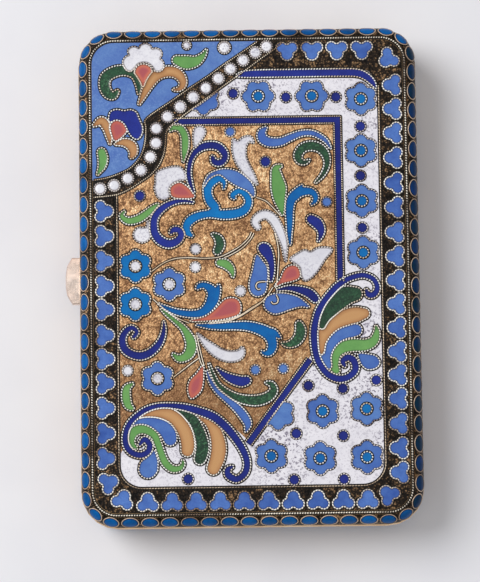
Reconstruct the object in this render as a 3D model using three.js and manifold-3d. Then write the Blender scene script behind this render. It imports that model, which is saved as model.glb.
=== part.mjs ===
// A flat cloisonne cigarette case, lying on its back with the lid up. Millimetres, +Z up.
// The origin is the centre of the underside. +Y runs along the case, +X is the hinge side, -X the catch side.
// Both halves are drawn in a half frame, where h is the height above the parting plane, outwards.
import * as THREE from "three";
import { mergeVertices } from "three/addons/utils/BufferGeometryUtils.js";
import Module from "manifold-3d";

const wasm = await Module();
wasm.setup();

// Case body
const LENGTH = 109.2; // metal shell along Y, without its enamel
const WIDTH = 74.2; // metal shell along X
const HALF_HEIGHT = 8.3; // parting plane to the flat face of one half
const CORNER = 7.6; // plan radius of the corners
const WALL = 1.0;
const SHOULDER_IN = 2.0; // how far the rounded shoulder leans in, in plan
const RIM_ZONE = 4.8; // plain upright wall beside the parting plane

// Ornament laid on the shells
const PLATE = 0.3; // carrier sheet under the enamel
const CELL_RISE = 0.15; // enamel above its carrier
const SOLDER_GAP = 0.05; // between a shaped skin and the shell under it
const PIECE_GAP = 0.3; // between neighbouring plates, where a wire runs
const SHOULDER_PLATE = 0.25; // carrier of the oval border
const OVAL_FROM = 20; // degrees round the shoulder, 0 at the upright wall
const OVAL_TO = 86;
const EDGE_THICK = 0.45; // polished band round each rim
const EDGE_HEIGHT = 2.6;
const ROPE_OUT = 2.05; // inset of the double rope wire, outer side
const ROPE_IN = 2.7;
const BAND_IN = 7.6; // inner side of the trefoil band
const PANEL_LINE_WIDTH = 0.7; // twin wire between the band and the panel
const PANEL_CORNER = 5.0; // plan radius of that wire's corners

// Hinge in the +X side
const HINGE_INSET = 0.9; // axis inside the shell's outer face
const KNUCKLE_RADIUS = 1.3;
const KNUCKLE_GAP = 0.3; // knuckle to channel, and knuckle to knuckle
const KNUCKLE_COUNT = 9; // odd, so that the base holds both ends
const HINGE_BARE = 9.6; // shell left bare beyond each end of the hinge
const HINGE_LENGTH = LENGTH - 2 * HINGE_BARE;
const PIN_RADIUS = 0.65;
const PIN_PLAY = 0.1;
const CAP_LENGTH = 0.9;
const CHANNEL_WALL = 0.5;
const CHANNEL_FOOT = 1.4; // height of the strip soldered to the wall
const OPEN_DEGREES = 110; // how far the lid opens
const OPEN_MARGIN = 8; // degrees left between the bevelled back edges then

// Catch in the -X side
const THUMB_LENGTH = 10.4;
const THUMB_PROUD = 3.4; // beyond the oval border
const THUMB_HEIGHT = 2.6;
const THUMB_END = 1.9; // how deep its ends are chamfered
const CATCH_GAP = 0.3; // thumb-piece to the sides of its notch
const CATCH_BITE = 0.4; // hook over keeper when latched
const CATCH_FREE = 0.15; // hook clear of keeper at the rest position
const CATCH_STOP = 0.05; // flange to wall when latched
const STEM_LENGTH = 6.4;
const FLANGE_LENGTH = 13.4;
const FLANGE_THICK = 0.8;
const HOOK_WIDTH = 5.0;
const HOOK_RISE = 2.6; // top of the hook above the parting plane
const HOOK_NOSE = 0.85; // height of its nose
const KEEPER_REACH = 0.5;
const KEEPER_WIDTH = 7.0;
const KEEPER_HEIGHT = 0.85;
const SPRING_THICK = 0.35;
const SPRING_SPAN = 36; // between rivets
const SPRING_HEIGHT = 2.0;
const RIVET_RADIUS = 0.7;

// Inner rim of the base, over which the lid closes
const RIM_THICK = 0.5;
const RIM_RISE = 1.2; // above the parting plane
const RIM_DEPTH = 2.6; // below it
const RIM_PLAY = 0.25; // to the inside of the walls

// Plans of the ornament. They were drawn for a shell 74.2 wide and 109.2 long, and stretch with it.
const acrossStretch = WIDTH / 74.2;
const alongStretch = LENGTH / 109.2;
const fitted = (points) => points.map(([x, y, ...rest]) => [x * acrossStretch, y * alongStretch, ...rest]);

// Lines that part the lid's panels
const PEARL_INNER = fitted([
  [-40, 21.2], [-31, 21.6], [-28.4, 22.5], [-25.9, 24.0], [-23.9, 26.1], [-22.7, 28.6], [-22.3, 31.0],
  [-22.3, 35.1], [-13.8, 40.8], [-1.8, 48.9], [4.5, 53.1], [4.5, 60],
]);
const PEARL_OUTER = fitted([
  [-40, 17.2], [-30, 17.7], [-27, 18.4], [-23.5, 20.2], [-21, 22.8], [-19, 25.8], [-18.1, 29],
  [-17.9, 32], [-16.8, 33.4], [-11.5, 37.5], [-5, 42.2], [0, 45.8], [5.5, 49.6], [12, 54], [12, 60],
]);
const PEARLS = fitted([
  [4.4, 50.4], [1.9, 49.1], [-0.9, 47.4], [-3.6, 45.5], [-6.3, 43.4], [-9.1, 41.4], [-12.0, 39.5],
  [-14.7, 37.6], [-17.5, 35.6], [-19.8, 32.9], [-20.2, 29.4], [-21.6, 26.2], [-23.7, 23.3], [-26.5, 21.4],
  [-29.6, 19.9], [-32.7, 19.1],
]);
const PEARL_RADIUS = 1.35;
const PEARL_RISE = 0.5; // dome above its carrier
const TOP_BAND = fitted([[-20, 43.8], [60, 45.8]]); // blue band under the upper border: two corners
const FRAME_OUT = fitted([[20.7, 35.4]])[0]; // blue frame round the gold field: outer corner
const FRAME_WIDTH = 1.7;
const FRAME_END = fitted([[-15.6, -1.6]])[0]; // where its two arms stop
const DIAGONAL = fitted([[-1.6, -38.1], [13.3, -18.1]]); // blue line from scroll to scroll
const DIAGONAL_WIDTH = 1.7;
const SCROLL_RIGHT = fitted([
  [19.4, -1.6], [22, -0.4], [25, 0.1], [27.2, -0.9], [28.2, -3.2], [28.2, -19.5], [25.5, -22],
  [21.5, -23.8], [18, -23.4], [15.2, -20.6], [13.5, -17], [13.2, -12.5], [14.6, -7.4], [16.8, -3.9],
]);
const SCROLL_RIGHT_MIDDLE = -12.7 * alongStretch;
const SCROLL_LOWER = fitted([
  [-28.4, -36], [-27.4, -32.4], [-24.6, -29.6], [-20.4, -27.8], [-15.5, -27.4], [-10.5, -28.4],
  [-6.2, -31], [-2.6, -35], [-0.5, -39.3], [-0.6, -43.4], [-2.4, -45.3], [-4.8, -45.5], [-6.6, -43.4],
  [-13, -42.6], [-20, -43.8], [-25, -43.8], [-25, -40.5], [-27.6, -39],
]);

// Leaves of the lid: spines of x, y and width
const CORNER_LEAVES = [
  [[-26.4, 49, 3.4], [-22.8, 49.2, 3.8], [-19.6, 48.2, 3.6]],
  [[-22.4, 43.2, 1.6], [-22.4, 45.4, 3], [-22.4, 46.6, 1.6]],
  [[-23.9, 40.2, 0.4], [-24.7, 44.5, 1.7], [-28.9, 45.4, 2.2], [-31.4, 42.2, 2.2], [-28.8, 40.6, 1]],
  [[-23.9, 37.9, 0.4], [-21.7, 42.2, 1.9], [-18.2, 45.1, 2.3], [-14.7, 44.1, 2], [-15.6, 41.1, 0.8]],
  [[-15.4, 47.7, 2], [-11.3, 47.4, 2.6], [-8.8, 50.1, 0.3]],
  [[-30.2, 35.2, 1.8], [-26.6, 35.2, 2.2], [-24.2, 33.4, 2.2], [-24, 30.8, 1]],
  [[-28.6, 30.6, 1.8], [-28.4, 33, 2.8]],
  [[-33.4, 33.4, 0.6], [-31, 32.9, 1.8], [-30.3, 29.1, 0.3]],
  [[-29.3, 29.1, 0.4], [-25.9, 28.6, 2], [-25.9, 26.6, 1]],
  [[-32.2, 27.4, 1.8], [-32.1, 24.8, 1.6], [-32.8, 22.9, 0.4]],
];
const FIELD_LEAVES = [
  [[-17, 31.9, 0.4], [-14.4, 31.6, 1.6], [-13.9, 28.8, 1.6], [-14.3, 24.9, 0.3]],
  [[-10.6, 31.8, 2.6], [-11.7, 28.2, 0.3]],
  [
    [-12, 18.1, 0.3], [-13, 22.6, 1], [-11.5, 27.2, 1.3], [-8.4, 28.6, 1.6], [-5.3, 27, 1.6],
    [-6.6, 24.8, 1.4],
  ],
  [[-14.3, 22.4, 2.4], [-17.2, 21.9, 3.2], [-18.9, 19.2, 2.9], [-18.6, 16.8, 0.8]],
  [[-12.4, 17.6, 1.2], [-14.8, 18.6, 3], [-17, 18.6, 1]],
  [[-27.4, 13.8, 1], [-26, 12.3, 1.4], [-22.5, 13.6, 1.5], [-19.8, 15.8, 0.3]],
  [
    [-12.1, 16, 0.4], [-17, 15.9, 1.1], [-20.6, 12.8, 1.5], [-20.6, 9.1, 1.7], [-17.6, 6.9, 1.8],
    [-14.9, 8.8, 1.4], [-17, 9.8, 0.9],
  ],
  [[-22, 11.6, 0.9], [-23.2, 9, 2.9], [-24.8, 8.8, 1.6]],
  [[-9.4, 20.4, 1.6], [-7.2, 22.4, 1.2], [-4.4, 21.9, 2.6], [-1.6, 20.4, 2.4], [1.2, 17.6, 0.6]],
  [[-5.5, 18.9, 0.5], [-6.4, 21.1, 1.5], [-8.9, 19.2, 1.9], [-7.4, 14.6, 2], [-8.6, 13, 1.6]],
  [
    [-3.2, 16.9, 0.8], [-1.7, 18.3, 1.3], [0, 16, 1.6], [-2.9, 13.4, 2], [-8.6, 13.3, 1.6],
    [-12.8, 12.1, 1.9], [-13, 8.9, 1],
  ],
  [[-2, 28.4, 3.2], [-0.6, 23.4, 2.2], [1.9, 19.7, 0.3]],
  [[-3.4, 29.8, 0.6], [-1.4, 28.4, 2.4], [0.9, 29.6, 0.8]],
  [[3.6, 32, 1], [3.4, 29.9, 2], [7.2, 29.2, 1.7], [13, 31, 1.2], [18.1, 27.7, 0.4]],
  [[14.6, 19.9, 0.3], [17.3, 24.2, 1.1], [15.7, 27.7, 1.8], [11.8, 27.6, 1.8], [11.6, 24.8, 1.2]],
  [[7.4, 23.9, 0.5], [6.1, 22.4, 2], [6.6, 18.6, 3.2], [7.4, 12.8, 0.3]],
  [[8.9, 6.3, 0.4], [8.9, 12.4, 1.5], [9.4, 16.4, 2], [11.9, 19.5, 0.5]],
  [[9.6, 16.6, 1.8], [13.2, 18.1, 1.7], [14.4, 15.9, 1]],
  [[13.6, 11.9, 2], [15.5, 10, 2], [15, 6.9, 0.3]],
  [[1.8, 10.4, 1.2], [2.9, 12.9, 1.9], [6, 10.8, 1.9], [7.9, 2.8, 0.3]],
  [[-8.2, 9, 0.4], [-6.5, 7.3, 1.9], [-7, 5.2, 1.5]],
  [[2.3, 5.6, 1.8], [4.4, 4, 2.2], [4.8, 1.4, 1.1], [4.7, -1.7, 0.4]],
  [[2.2, 3.9, 1.2], [1.9, 0.6, 3.2], [1.7, -2.8, 3.8], [1.8, -4.6, 1.6]],
  [[5.6, -2.6, 0.5], [8.4, -0.4, 2.6], [10.7, 0, 1.7]],
  [[9.2, 2.9, 0.6], [12.2, 2.2, 4.8], [15, 3.8, 2.8], [17.9, 5.1, 0.4]],
  [[5.8, -3.6, 0.4], [10.8, -3.6, 1.5], [14.2, -5.6, 1.7]],
  [[3.2, -6.8, 1.4], [6, -6.5, 4], [9.4, -6.4, 3], [12.7, -7.2, 0.4]],
  [[-6.6, 2.6, 1.5], [-4.6, 1.7, 1.7], [-3.7, -0.7, 0.4]],
  [
    [-25.2, -12.6, 1], [-26.4, -11.8, 1.2], [-28, -13.8, 1.5], [-26.4, -17, 1.6], [-22.4, -17.1, 1.7],
    [-19.3, -13.5, 1.1], [-18.9, -10, 0.3],
  ],
  [[-19.6, -7.3, 0.3], [-15.2, -11.2, 1.2], [-13, -15.2, 2.2], [-14.2, -17.9, 1.8], [-16.8, -17.5, 0.8]],
  [
    [-20.1, -6.2, 0.3], [-14.6, -8.4, 1.4], [-10, -7.9, 1.9], [-8, -4.8, 2.5], [-9.8, -2.4, 1.4],
    [-11.6, -3, 0.6],
  ],
  [[-13, -10, 0.3], [-8, -9, 1.7], [-4.2, -7.5, 3.6], [-2.4, -6.8, 1.8]],
  [
    [-11.9, -11, 0.3], [-3.6, -11.3, 1.6], [2, -12.1, 2.2], [4.6, -14.6, 2.2], [3.8, -17.3, 1.4],
    [2.4, -17, 0.6],
  ],
  [[2.8, -12.6, 2], [6.6, -14.2, 0.4]],
  [[-11.7, -12.8, 0.3], [-8.7, -16, 1.9], [-4.8, -18, 2.3], [-2, -16.6, 1]],
  [[10.6, -11.2, 1.6], [10.6, -13.9, 2.1], [6.7, -15.2, 0.5]],
  [[-10.6, -20.2, 0.4], [-11.8, -23.2, 3], [-12.9, -26.7, 1.2]],
  [[-25.7, -23.6, 0.5], [-27.3, -25.8, 1.8], [-26.2, -29, 1]],
  [[-7.6, -20.4, 0.3], [-4.2, -22.9, 1.9], [-1, -23.3, 1.8]],
  [[-9, -20, 0.3], [-7.1, -24.2, 0.8], [-2.2, -27.3, 1.7], [3.3, -27.1, 2], [4.3, -24.2, 1]],
  [[-9.5, -21.6, 0.3], [-7.5, -25.5, 0.9], [-3.2, -29.3, 1.6], [-1, -33.2, 1.3]],
];
const RIGHT_LEAVES = [
  [
    [25.5, -4.4, 1], [27.4, -4.4, 1.3], [27.3, -1.8, 1.1], [24.4, -0.7, 1.2], [20.6, -1.8, 1.2],
    [17.2, -4.9, 1.3], [14.8, -9, 1.4], [13.8, -13.6, 1.5], [14.4, -18.4, 1.4], [16.7, -22.2, 1.4],
    [20.2, -23.1, 1.5], [22.7, -21, 1.5], [21.2, -18.7, 1.4], [20.2, -19.9, 0.9],
  ],
  [[23, -4.6, 2.6], [19.9, -6.4, 2.5], [16.2, -10.8, 0.3]],
  [[25, -8.9, 1.8], [21.5, -9.6, 2.8], [17.4, -12.1, 1.6], [15.5, -16.1, 0.4]],
  [[23.2, -12.6, 2], [19.5, -13.3, 2.2], [17.1, -16, 1.4], [16.7, -19.6, 0.3]],
  [[27.2, -12.4, 0.8], [26.4, -15.4, 1.8], [20.6, -16.3, 2.1], [18.4, -19.6, 1]],
  [[24, -19.5, 2.4], [27.6, -19.6, 2]],
];
const LOWER_LEAVES = [
  [
    [-23.9, -36.2, 1], [-22.3, -37.4, 1.3], [-24.6, -39.2, 1.3], [-27.4, -36.9, 1.3], [-26.8, -32.7, 1.2],
    [-23.1, -29.4, 1.1], [-18.1, -28.5, 1], [-11.6, -29.8, 1.6], [-6, -33, 1.7], [-2.5, -37.7, 1.5],
    [-1.2, -41.6, 1.4], [-3.2, -44.7, 1.4], [-5.2, -43.2, 1.3],
  ],
  [
    [-25.1, -37.6, 0.4], [-25.5, -34.6, 1], [-22.2, -34.2, 1.2], [-20.1, -38, 1.3], [-17.8, -42.1, 1.5],
    [-15.2, -41.2, 0.8],
  ],
  [[-25.9, -33.2, 0.3], [-21.2, -32.1, 1.5], [-17.4, -35.8, 2.4]],
  [[-23, -30.9, 0.3], [-17.2, -31.5, 1.5], [-13.8, -37.8, 2.6]],
  [[-15.6, -30.6, 0.3], [-11.7, -33.4, 1.3], [-11.1, -40, 1.9]],
  [[-12, -30.9, 0.3], [-8, -34.7, 1.7], [-8.2, -42.2, 2.6]],
  [[-21.4, -38.8, 0.6], [-22.8, -42.4, 3]],
];
const FLOWERS = fitted([
  [-25, 2.1], [-25.1, -6.3], [-17.6, -2], [-20.4, -22.6], [24.8, 27], [24.8, 15.8], [24.9, 4.4],
  [15.4, -30.2], [25, -29.8], [14.7, -40.4], [24.9, -40.3], [4.1, -39.8], [24.8, 38.5], [2.1, 39.5],
  [14.5, 39.3],
]);
const FLOWER_RADIUS = 3.45;
const FLOWER_NOTCH = 0.8; // depth between its lobes
const TREFOIL_RADIUS = 2.3;
const TREFOIL_NOTCH = 0.95;
const TREFOIL_INSET = 5.1; // shell's outline to the middle of each trefoil
// Heights, then distances across the lid, and last x, y and turn
const TREFOILS_LEFT = [-39.8, -34.4, -28.9, -23.5, -18.2, -13, -7.4, -2.2, 3.3, 8.8, 14.3];
const TREFOILS_RIGHT = [
  -43.2, -37.9, -32.6, -27.2, -22, -16.9, -11.7, -6.5, -1.3, 4, 9.3, 14.8, 20.2, 25.8, 31.3, 36.7, 42,
];
const TREFOILS_LOWER = [-23.2, -17.9, -12.7, -7.5, -2.3, 3, 8.3, 13.7, 19.2, 24.5];
const TREFOILS_UPPER = [8.9, 14.4, 19.9, 25.4];
const TREFOILS_AT_CORNERS = [[-31.2, -45.1, 203], [-28.2, -48.8, 252], [29.4, -48.5, 315], [31.2, 47.4, 38]];

// One quarter of the underside
const BASE_LEAVES = [
  [
    [4.5, 41.5, 0.4], [13.5, 42.8, 1.5], [21.6, 38.8, 1.7], [24.2, 31.2, 1.7], [20, 24.7, 1.6],
    [13.8, 26.6, 1.5], [14.6, 31.8, 1.3], [18, 30, 0.8],
  ],
  [[8, 38.8, 0.4], [11.8, 38.4, 1.7], [14.8, 35.4, 2.4]],
  [[5.6, 36, 0.4], [9.2, 34, 1.8], [10.2, 28, 0.8]],
  [[25.2, 24.8, 0.4], [24.8, 18.8, 2], [20, 16.6, 0.6]],
  [[25.8, 12.4, 0.4], [20, 10.6, 1.9], [18.4, 4.8, 1.6], [21.6, 2.9, 0.8]],
];
const BASE_FLOWERS = fitted([[0, 36.2], [0, 17.8], [0, -17.8], [0, -36.2]]);

const CORNER_STEPS = 5;
const SHOULDER_STEPS = 4;

const PARTING_Z = PLATE + CELL_RISE + HALF_HEIGHT;
const TAU = Math.PI * 2;
const FAR = 20; // well outside the wall
const radians = (degrees) => (degrees * Math.PI) / 180;

// Colours, as linear materials
const metal = (color, roughness) =>
  new THREE.MeshStandardMaterial({ color, roughness, metalness: 1 });
const enamel = (color) =>
  new THREE.MeshStandardMaterial({ color, roughness: 0.25, metalness: 0 });
const GILT = metal(0xd6b184, 0.3);
const SATIN_GILT = metal(0xc9a06c, 0.45);
const ROSE_GILT = metal(0xe6cdb4, 0.35);
const DARK_GILT = metal(0x8a6a44, 0.5);
const SPRING_STEEL = metal(0xb8bcc0, 0.35);
const OVAL_BLUE = enamel(0x0c5f9e);
const GROUND_BLUE = enamel(0x5a86d8);
const ROYAL_BLUE = enamel(0x262a96);
const WHITE = enamel(0xe1e1e8);

// Solids

function solidFrom(points, triangles) {
  const build = (tris) =>
    new wasm.Manifold(
      new wasm.Mesh({
        numProp: 3,
        vertProperties: new Float32Array(points.flat()),
        triVerts: new Uint32Array(tris.flat()),
      }),
    );
  const first = build(triangles);
  return first.volume() > 0 ? first : build(triangles.map(([a, b, c]) => [a, c, b]));
}

function toSolid(geometry) {
  geometry.deleteAttribute("normal");
  geometry.deleteAttribute("uv");
  const merged = mergeVertices(geometry, 1e-4);
  return new wasm.Manifold(
    new wasm.Mesh({
      numProp: 3,
      vertProperties: merged.getAttribute("position").array,
      triVerts: new Uint32Array(merged.index.array),
    }),
  );
}

function toMesh(name, solid, material) {
  const made = solid.getMesh();
  const geometry = new THREE.BufferGeometry();
  geometry.setAttribute("position", new THREE.BufferAttribute(made.vertProperties, 3));
  geometry.setIndex(new THREE.BufferAttribute(made.triVerts, 1));
  geometry.computeVertexNormals();
  const mesh = new THREE.Mesh(geometry, material);
  mesh.name = name;
  return mesh;
}

const joined = (solids) => wasm.Manifold.union(solids);

// A flat outline in plan, between two heights.
function prism(outline, low, high, holes = []) {
  const shape = new THREE.Shape(outline.map(([x, y]) => new THREE.Vector2(x, y)));
  for (const hole of holes) {
    shape.holes.push(new THREE.Path(hole.map(([x, y]) => new THREE.Vector2(x, y))));
  }
  const geometry = new THREE.ExtrudeGeometry(shape, { depth: high - low, bevelEnabled: false });
  return toSolid(geometry.translate(0, 0, low));
}

// A section in X and h, drawn along Y.
function along(section, fromY, toY) {
  const shape = new THREE.Shape(section.map(([x, h]) => new THREE.Vector2(x, -h)));
  const geometry = new THREE.ExtrudeGeometry(shape, { depth: toY - fromY, bevelEnabled: false });
  geometry.rotateX(-Math.PI / 2);
  geometry.translate(0, fromY, 0);
  return toSolid(geometry);
}

function box(x0, x1, y0, y1, z0, z1) {
  const geometry = new THREE.BoxGeometry(x1 - x0, y1 - y0, z1 - z0);
  return toSolid(geometry.translate((x0 + x1) / 2, (y0 + y1) / 2, (z0 + z1) / 2));
}

function roundedRectangle(halfX, halfY, radius, steps = CORNER_STEPS) {
  const corners = [
    [1, 1, 0], [-1, 1, 1], [-1, -1, 2], [1, -1, 3],
  ];
  return corners.flatMap(([sx, sy, quarter]) =>
    Array.from({ length: steps + 1 }, (_, i) => {
      const angle = ((quarter + i / steps) * Math.PI) / 2;
      return [
        sx * (halfX - radius) + radius * Math.cos(angle),
        sy * (halfY - radius) + radius * Math.sin(angle),
      ];
    }),
  );
}

// The case's outline in plan, moved in by an inset.
function caseOutline(inset) {
  return roundedRectangle(WIDTH / 2 - inset, LENGTH / 2 - inset, Math.max(CORNER - inset, 0.5));
}

// Loops of equal point counts, joined into a skin. A closed one runs back to its first loop, an open one is
// capped.
function skin(loops, closed) {
  const count = loops[0].length;
  const points = loops.flat();
  const triangles = [];
  const last = closed ? loops.length : loops.length - 1;
  for (let j = 0; j < last; j++) {
    const a = j * count;
    const b = ((j + 1) % loops.length) * count;
    for (let i = 0; i < count; i++) {
      const next = (i + 1) % count;
      triangles.push([a + i, a + next, b + next], [a + i, b + next, b + i]);
    }
  }
  if (!closed) {
    const outline = loops[0].map(([x, y]) => new THREE.Vector2(x, y));
    for (const [a, b, c] of THREE.ShapeUtils.triangulateShape(outline, [])) {
      triangles.push([c, b, a]);
      const end = (loops.length - 1) * count;
      triangles.push([end + a, end + b, end + c]);
    }
  }
  return solidFrom(points, triangles);
}

const loopAt = (inset, h) => caseOutline(inset).map(([x, y]) => [x, y, h]);

// A closed section of [inset, h] points, carried round the case.
const ring = (section) => skin(section.map(([inset, h]) => loopAt(inset, h)), true);

// A point of the shoulder's section, raised off the metal. Angle 0 is at the upright wall, 90 at the flat
// face.
function shoulder(angle, rise = 0) {
  const lean = SHOULDER_IN;
  const height = HALF_HEIGHT - RIM_ZONE;
  const out = Math.cos(angle);
  const up = Math.sin(angle);
  const length = Math.hypot(out / lean, up / height);
  return [
    lean * (1 - out) - (rise * out) / lean / length,
    RIM_ZONE + height * up + (rise * up) / height / length,
  ];
}

// Shells

function shellHalf() {
  const quarter = Array.from({ length: SHOULDER_STEPS + 1 }, (_, i) => (i / SHOULDER_STEPS) * (Math.PI / 2));
  const outer = quarter.map((angle) => shoulder(angle));
  const inner = quarter.map((angle) => [
    WALL + (SHOULDER_IN - WALL) * (1 - Math.cos(angle)),
    RIM_ZONE + (HALF_HEIGHT - RIM_ZONE - WALL) * Math.sin(angle),
  ]);
  const section = [...outer.reverse(), [0, 0], [WALL, 0], ...inner];
  return skin(section.map(([inset, h]) => loopAt(inset, h)), false);
}

const hingeX = WIDTH / 2 - HINGE_INSET;
const slotHalf = KNUCKLE_RADIUS + KNUCKLE_GAP; // half height of the slot that the knuckles lie in
const hingeReach = HINGE_LENGTH / 2 + CAP_LENGTH + KNUCKLE_GAP; // centre to the slot's end

// Room for the knuckles, and the bevel that lets the back edges pass each other.
function hingeRoom() {
  const bevel = radians((OPEN_DEGREES + OPEN_MARGIN) / 2);
  const slot = box(hingeX - slotHalf, hingeX + FAR, -hingeReach, hingeReach, -slotHalf, slotHalf);
  const wedge = along(
    [
      [hingeX, -0.01],
      [hingeX + FAR, -0.01],
      [hingeX + FAR, FAR * Math.tan(bevel)],
      [hingeX, 0],
    ],
    -LENGTH,
    LENGTH,
  );
  return slot.add(wedge);
}

// The soldered gutter that the knuckles lie in, with its foot on the wall.
function hingeChannel() {
  const inside = slotHalf;
  const flat = inside * Math.tan(Math.PI / 8);
  const outside = inside + CHANNEL_WALL;
  const outerFlat = outside * Math.tan(Math.PI / 8);
  const wallX = HINGE_INSET - WALL;
  const section = [
    [-outside, 0],
    [-inside, 0],
    [-inside, flat],
    [-flat, inside],
    [wallX, inside],
    [wallX, inside + CHANNEL_FOOT],
    [wallX - CHANNEL_WALL, inside + CHANNEL_FOOT],
    [wallX - CHANNEL_WALL, outside],
    [-outerFlat, outside],
    [-outside, outerFlat],
  ];
  const placed = section.map(([x, h]) => [hingeX + x, h]);
  return along(placed, -HINGE_LENGTH / 2, HINGE_LENGTH / 2);
}

const circle = (radius, sides, x = 0, y = 0) =>
  Array.from({ length: sides }, (_, i) => {
    const angle = ((i + 0.5) / sides) * TAU;
    return [x + radius * Math.cos(angle), y + radius * Math.sin(angle)];
  });

// One knuckle: a bored tube with a lug that is soldered to its own half's gutter.
function knuckle(fromY, toY) {
  const LUG = 0.45; // half width of the lug
  const tube = along(circle(KNUCKLE_RADIUS, 12, hingeX), fromY, toY);
  const lug = box(hingeX - LUG, hingeX + LUG, fromY, toY, KNUCKLE_RADIUS * 0.8, slotHalf);
  const bore = along(circle(PIN_RADIUS + PIN_PLAY, 10, hingeX), fromY - 1, toY + 1);
  return tube.add(lug).subtract(bore);
}

// Where each knuckle starts and ends along the hinge.
function knuckleSpans() {
  const length = (HINGE_LENGTH - (KNUCKLE_COUNT - 1) * KNUCKLE_GAP) / KNUCKLE_COUNT;
  return Array.from({ length: KNUCKLE_COUNT }, (_, i) => {
    const from = -HINGE_LENGTH / 2 + i * (length + KNUCKLE_GAP);
    return [from, from + length];
  });
}

// A domed cap that closes one end of the hinge; side is +1 or -1 along Y.
function hingeCap(side) {
  const profile = [
    [0, 0],
    [KNUCKLE_RADIUS, 0],
    [KNUCKLE_RADIUS, CAP_LENGTH * 0.35],
    [KNUCKLE_RADIUS * 0.72, CAP_LENGTH * 0.8],
    [0, CAP_LENGTH],
  ].map(([r, t]) => new THREE.Vector2(r, t));
  const geometry = new THREE.LatheGeometry(profile, 16);
  if (side < 0) geometry.rotateX(Math.PI);
  geometry.translate(hingeX, (side * HINGE_LENGTH) / 2, 0);
  return toSolid(geometry);
}

// Catch

const wallOuterX = -WIDTH / 2;
const wallInnerX = wallOuterX + WALL;
const skinX = wallOuterX - SOLDER_GAP - SHOULDER_PLATE - CELL_RISE; // outermost enamel
const thumbTop = -CATCH_GAP; // below the parting plane
const thumbBottom = thumbTop - THUMB_HEIGHT;
const catchMid = (thumbTop + thumbBottom) / 2; // height of the stem and of the leaf spring
const travelOut = CATCH_BITE + CATCH_FREE; // rest position to latched
const flangeX = wallInnerX + travelOut + CATCH_STOP; // outer face of the flange at rest

// The notch that the thumb-piece slides in, open to the parting plane. In the half frame of the base, h is
// downwards.
function thumbNotch() {
  const half = THUMB_LENGTH / 2 + CATCH_GAP;
  return box(wallOuterX - FAR, wallInnerX + WALL, -half, half, -1, -thumbBottom + CATCH_GAP);
}

// Plan of the thumb-piece: straight grip, chamfered ends, then straight into the wall.
function thumbPiece() {
  const half = THUMB_LENGTH / 2;
  const grip = half - THUMB_END;
  const outer = skinX - THUMB_PROUD;
  const inner = wallOuterX + WALL * 0.4;
  const curve = Array.from({ length: 7 }, (_, i) => {
    const y = grip * (1 - i / 3);
    return [outer + 0.35 * (y / grip) ** 2, y];
  });
  const plan = [
    [inner, half],
    [outer + THUMB_PROUD * 0.42, half],
    ...curve,
    [outer + THUMB_PROUD * 0.42, -half],
    [inner, -half],
  ];
  const shape = new THREE.Shape(plan.map(([x, y]) => new THREE.Vector2(x, y)));
  const BEVEL = 0.3;
  const geometry = new THREE.ExtrudeGeometry(shape, {
    depth: THUMB_HEIGHT - 2 * BEVEL,
    bevelEnabled: true,
    bevelSize: BEVEL,
    bevelOffset: -BEVEL,
    bevelThickness: BEVEL,
    bevelSegments: 1,
  });
  return toSolid(geometry.translate(0, 0, thumbBottom + BEVEL));
}

// The stem joins the thumb-piece to a flange wider than its notch, which keeps it in.
function thumbStem() {
  const from = wallOuterX + WALL * 0.4;
  const block = box(from, flangeX, -STEM_LENGTH / 2, STEM_LENGTH / 2, catchMid - 0.9, catchMid + 0.9);
  const half = FLANGE_LENGTH / 2;
  const flange = box(flangeX, flangeX + FLANGE_THICK, -half, half, thumbBottom, thumbTop);
  return block.add(flange);
}

const keeperX = wallInnerX + KEEPER_REACH; // inner edge of the keeper
const hookTip = keeperX + CATCH_FREE;
const noseLow = HOOK_RISE - HOOK_NOSE;

// A plate on the flange that rises into the lid and turns outwards over the keeper.
function catchHook() {
  const backX = flangeX + FLANGE_THICK;
  const section = [
    [backX, catchMid + 0.1],
    [backX + FLANGE_THICK, catchMid + 0.1],
    [backX + FLANGE_THICK, HOOK_RISE - 0.3],
    [backX + FLANGE_THICK - 0.3, HOOK_RISE],
    [hookTip + 0.25, HOOK_RISE],
    [hookTip, noseLow + 0.3],
    [hookTip, noseLow],
    [backX, noseLow],
  ];
  return along(section, -HOOK_WIDTH / 2, HOOK_WIDTH / 2);
}

// The ledge inside the lid that the hook turns over.
function lidKeeper() {
  const top = noseLow - CATCH_GAP;
  const low = top - KEEPER_HEIGHT;
  const section = [
    [wallInnerX, low],
    [keeperX, low],
    [keeperX, top - 0.25],
    [keeperX - 0.2, top],
    [wallInnerX, top],
  ];
  return along(section, -KEEPER_WIDTH / 2, KEEPER_WIDTH / 2);
}

// A bowed leaf, riveted near its ends to the wall, that pushes the flange outwards.
const springBow = travelOut + CATCH_STOP + FLANGE_THICK + 0.12;
function latchSpring() {
  const end = SPRING_SPAN / 2 + 2;
  const touch = FLANGE_LENGTH / 2 + 1;
  const STEPS = 12;
  const offset = (y) => {
    const t = Math.max(0, Math.min(1, (SPRING_SPAN / 2 - 2 - Math.abs(y)) / (SPRING_SPAN / 2 - 2 - touch)));
    return springBow * t * t * (3 - 2 * t);
  };
  const ys = Array.from({ length: STEPS * 2 + 1 }, (_, i) => end * (i / STEPS - 1));
  const left = ys.map((y) => [wallInnerX + offset(y), y]);
  const right = ys.map((y) => [wallInnerX + offset(y) + SPRING_THICK, y]).reverse();
  const leaf = prism([...left, ...right], catchMid - SPRING_HEIGHT / 2, catchMid + SPRING_HEIGHT / 2);
  const half = HOOK_WIDTH / 2 + CATCH_GAP; // the leaf is cut away to its lower edge under the hook
  return leaf.subtract(box(wallInnerX, wallInnerX + 6, -half, half, catchMid - 0.2, catchMid + 6));
}

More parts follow.
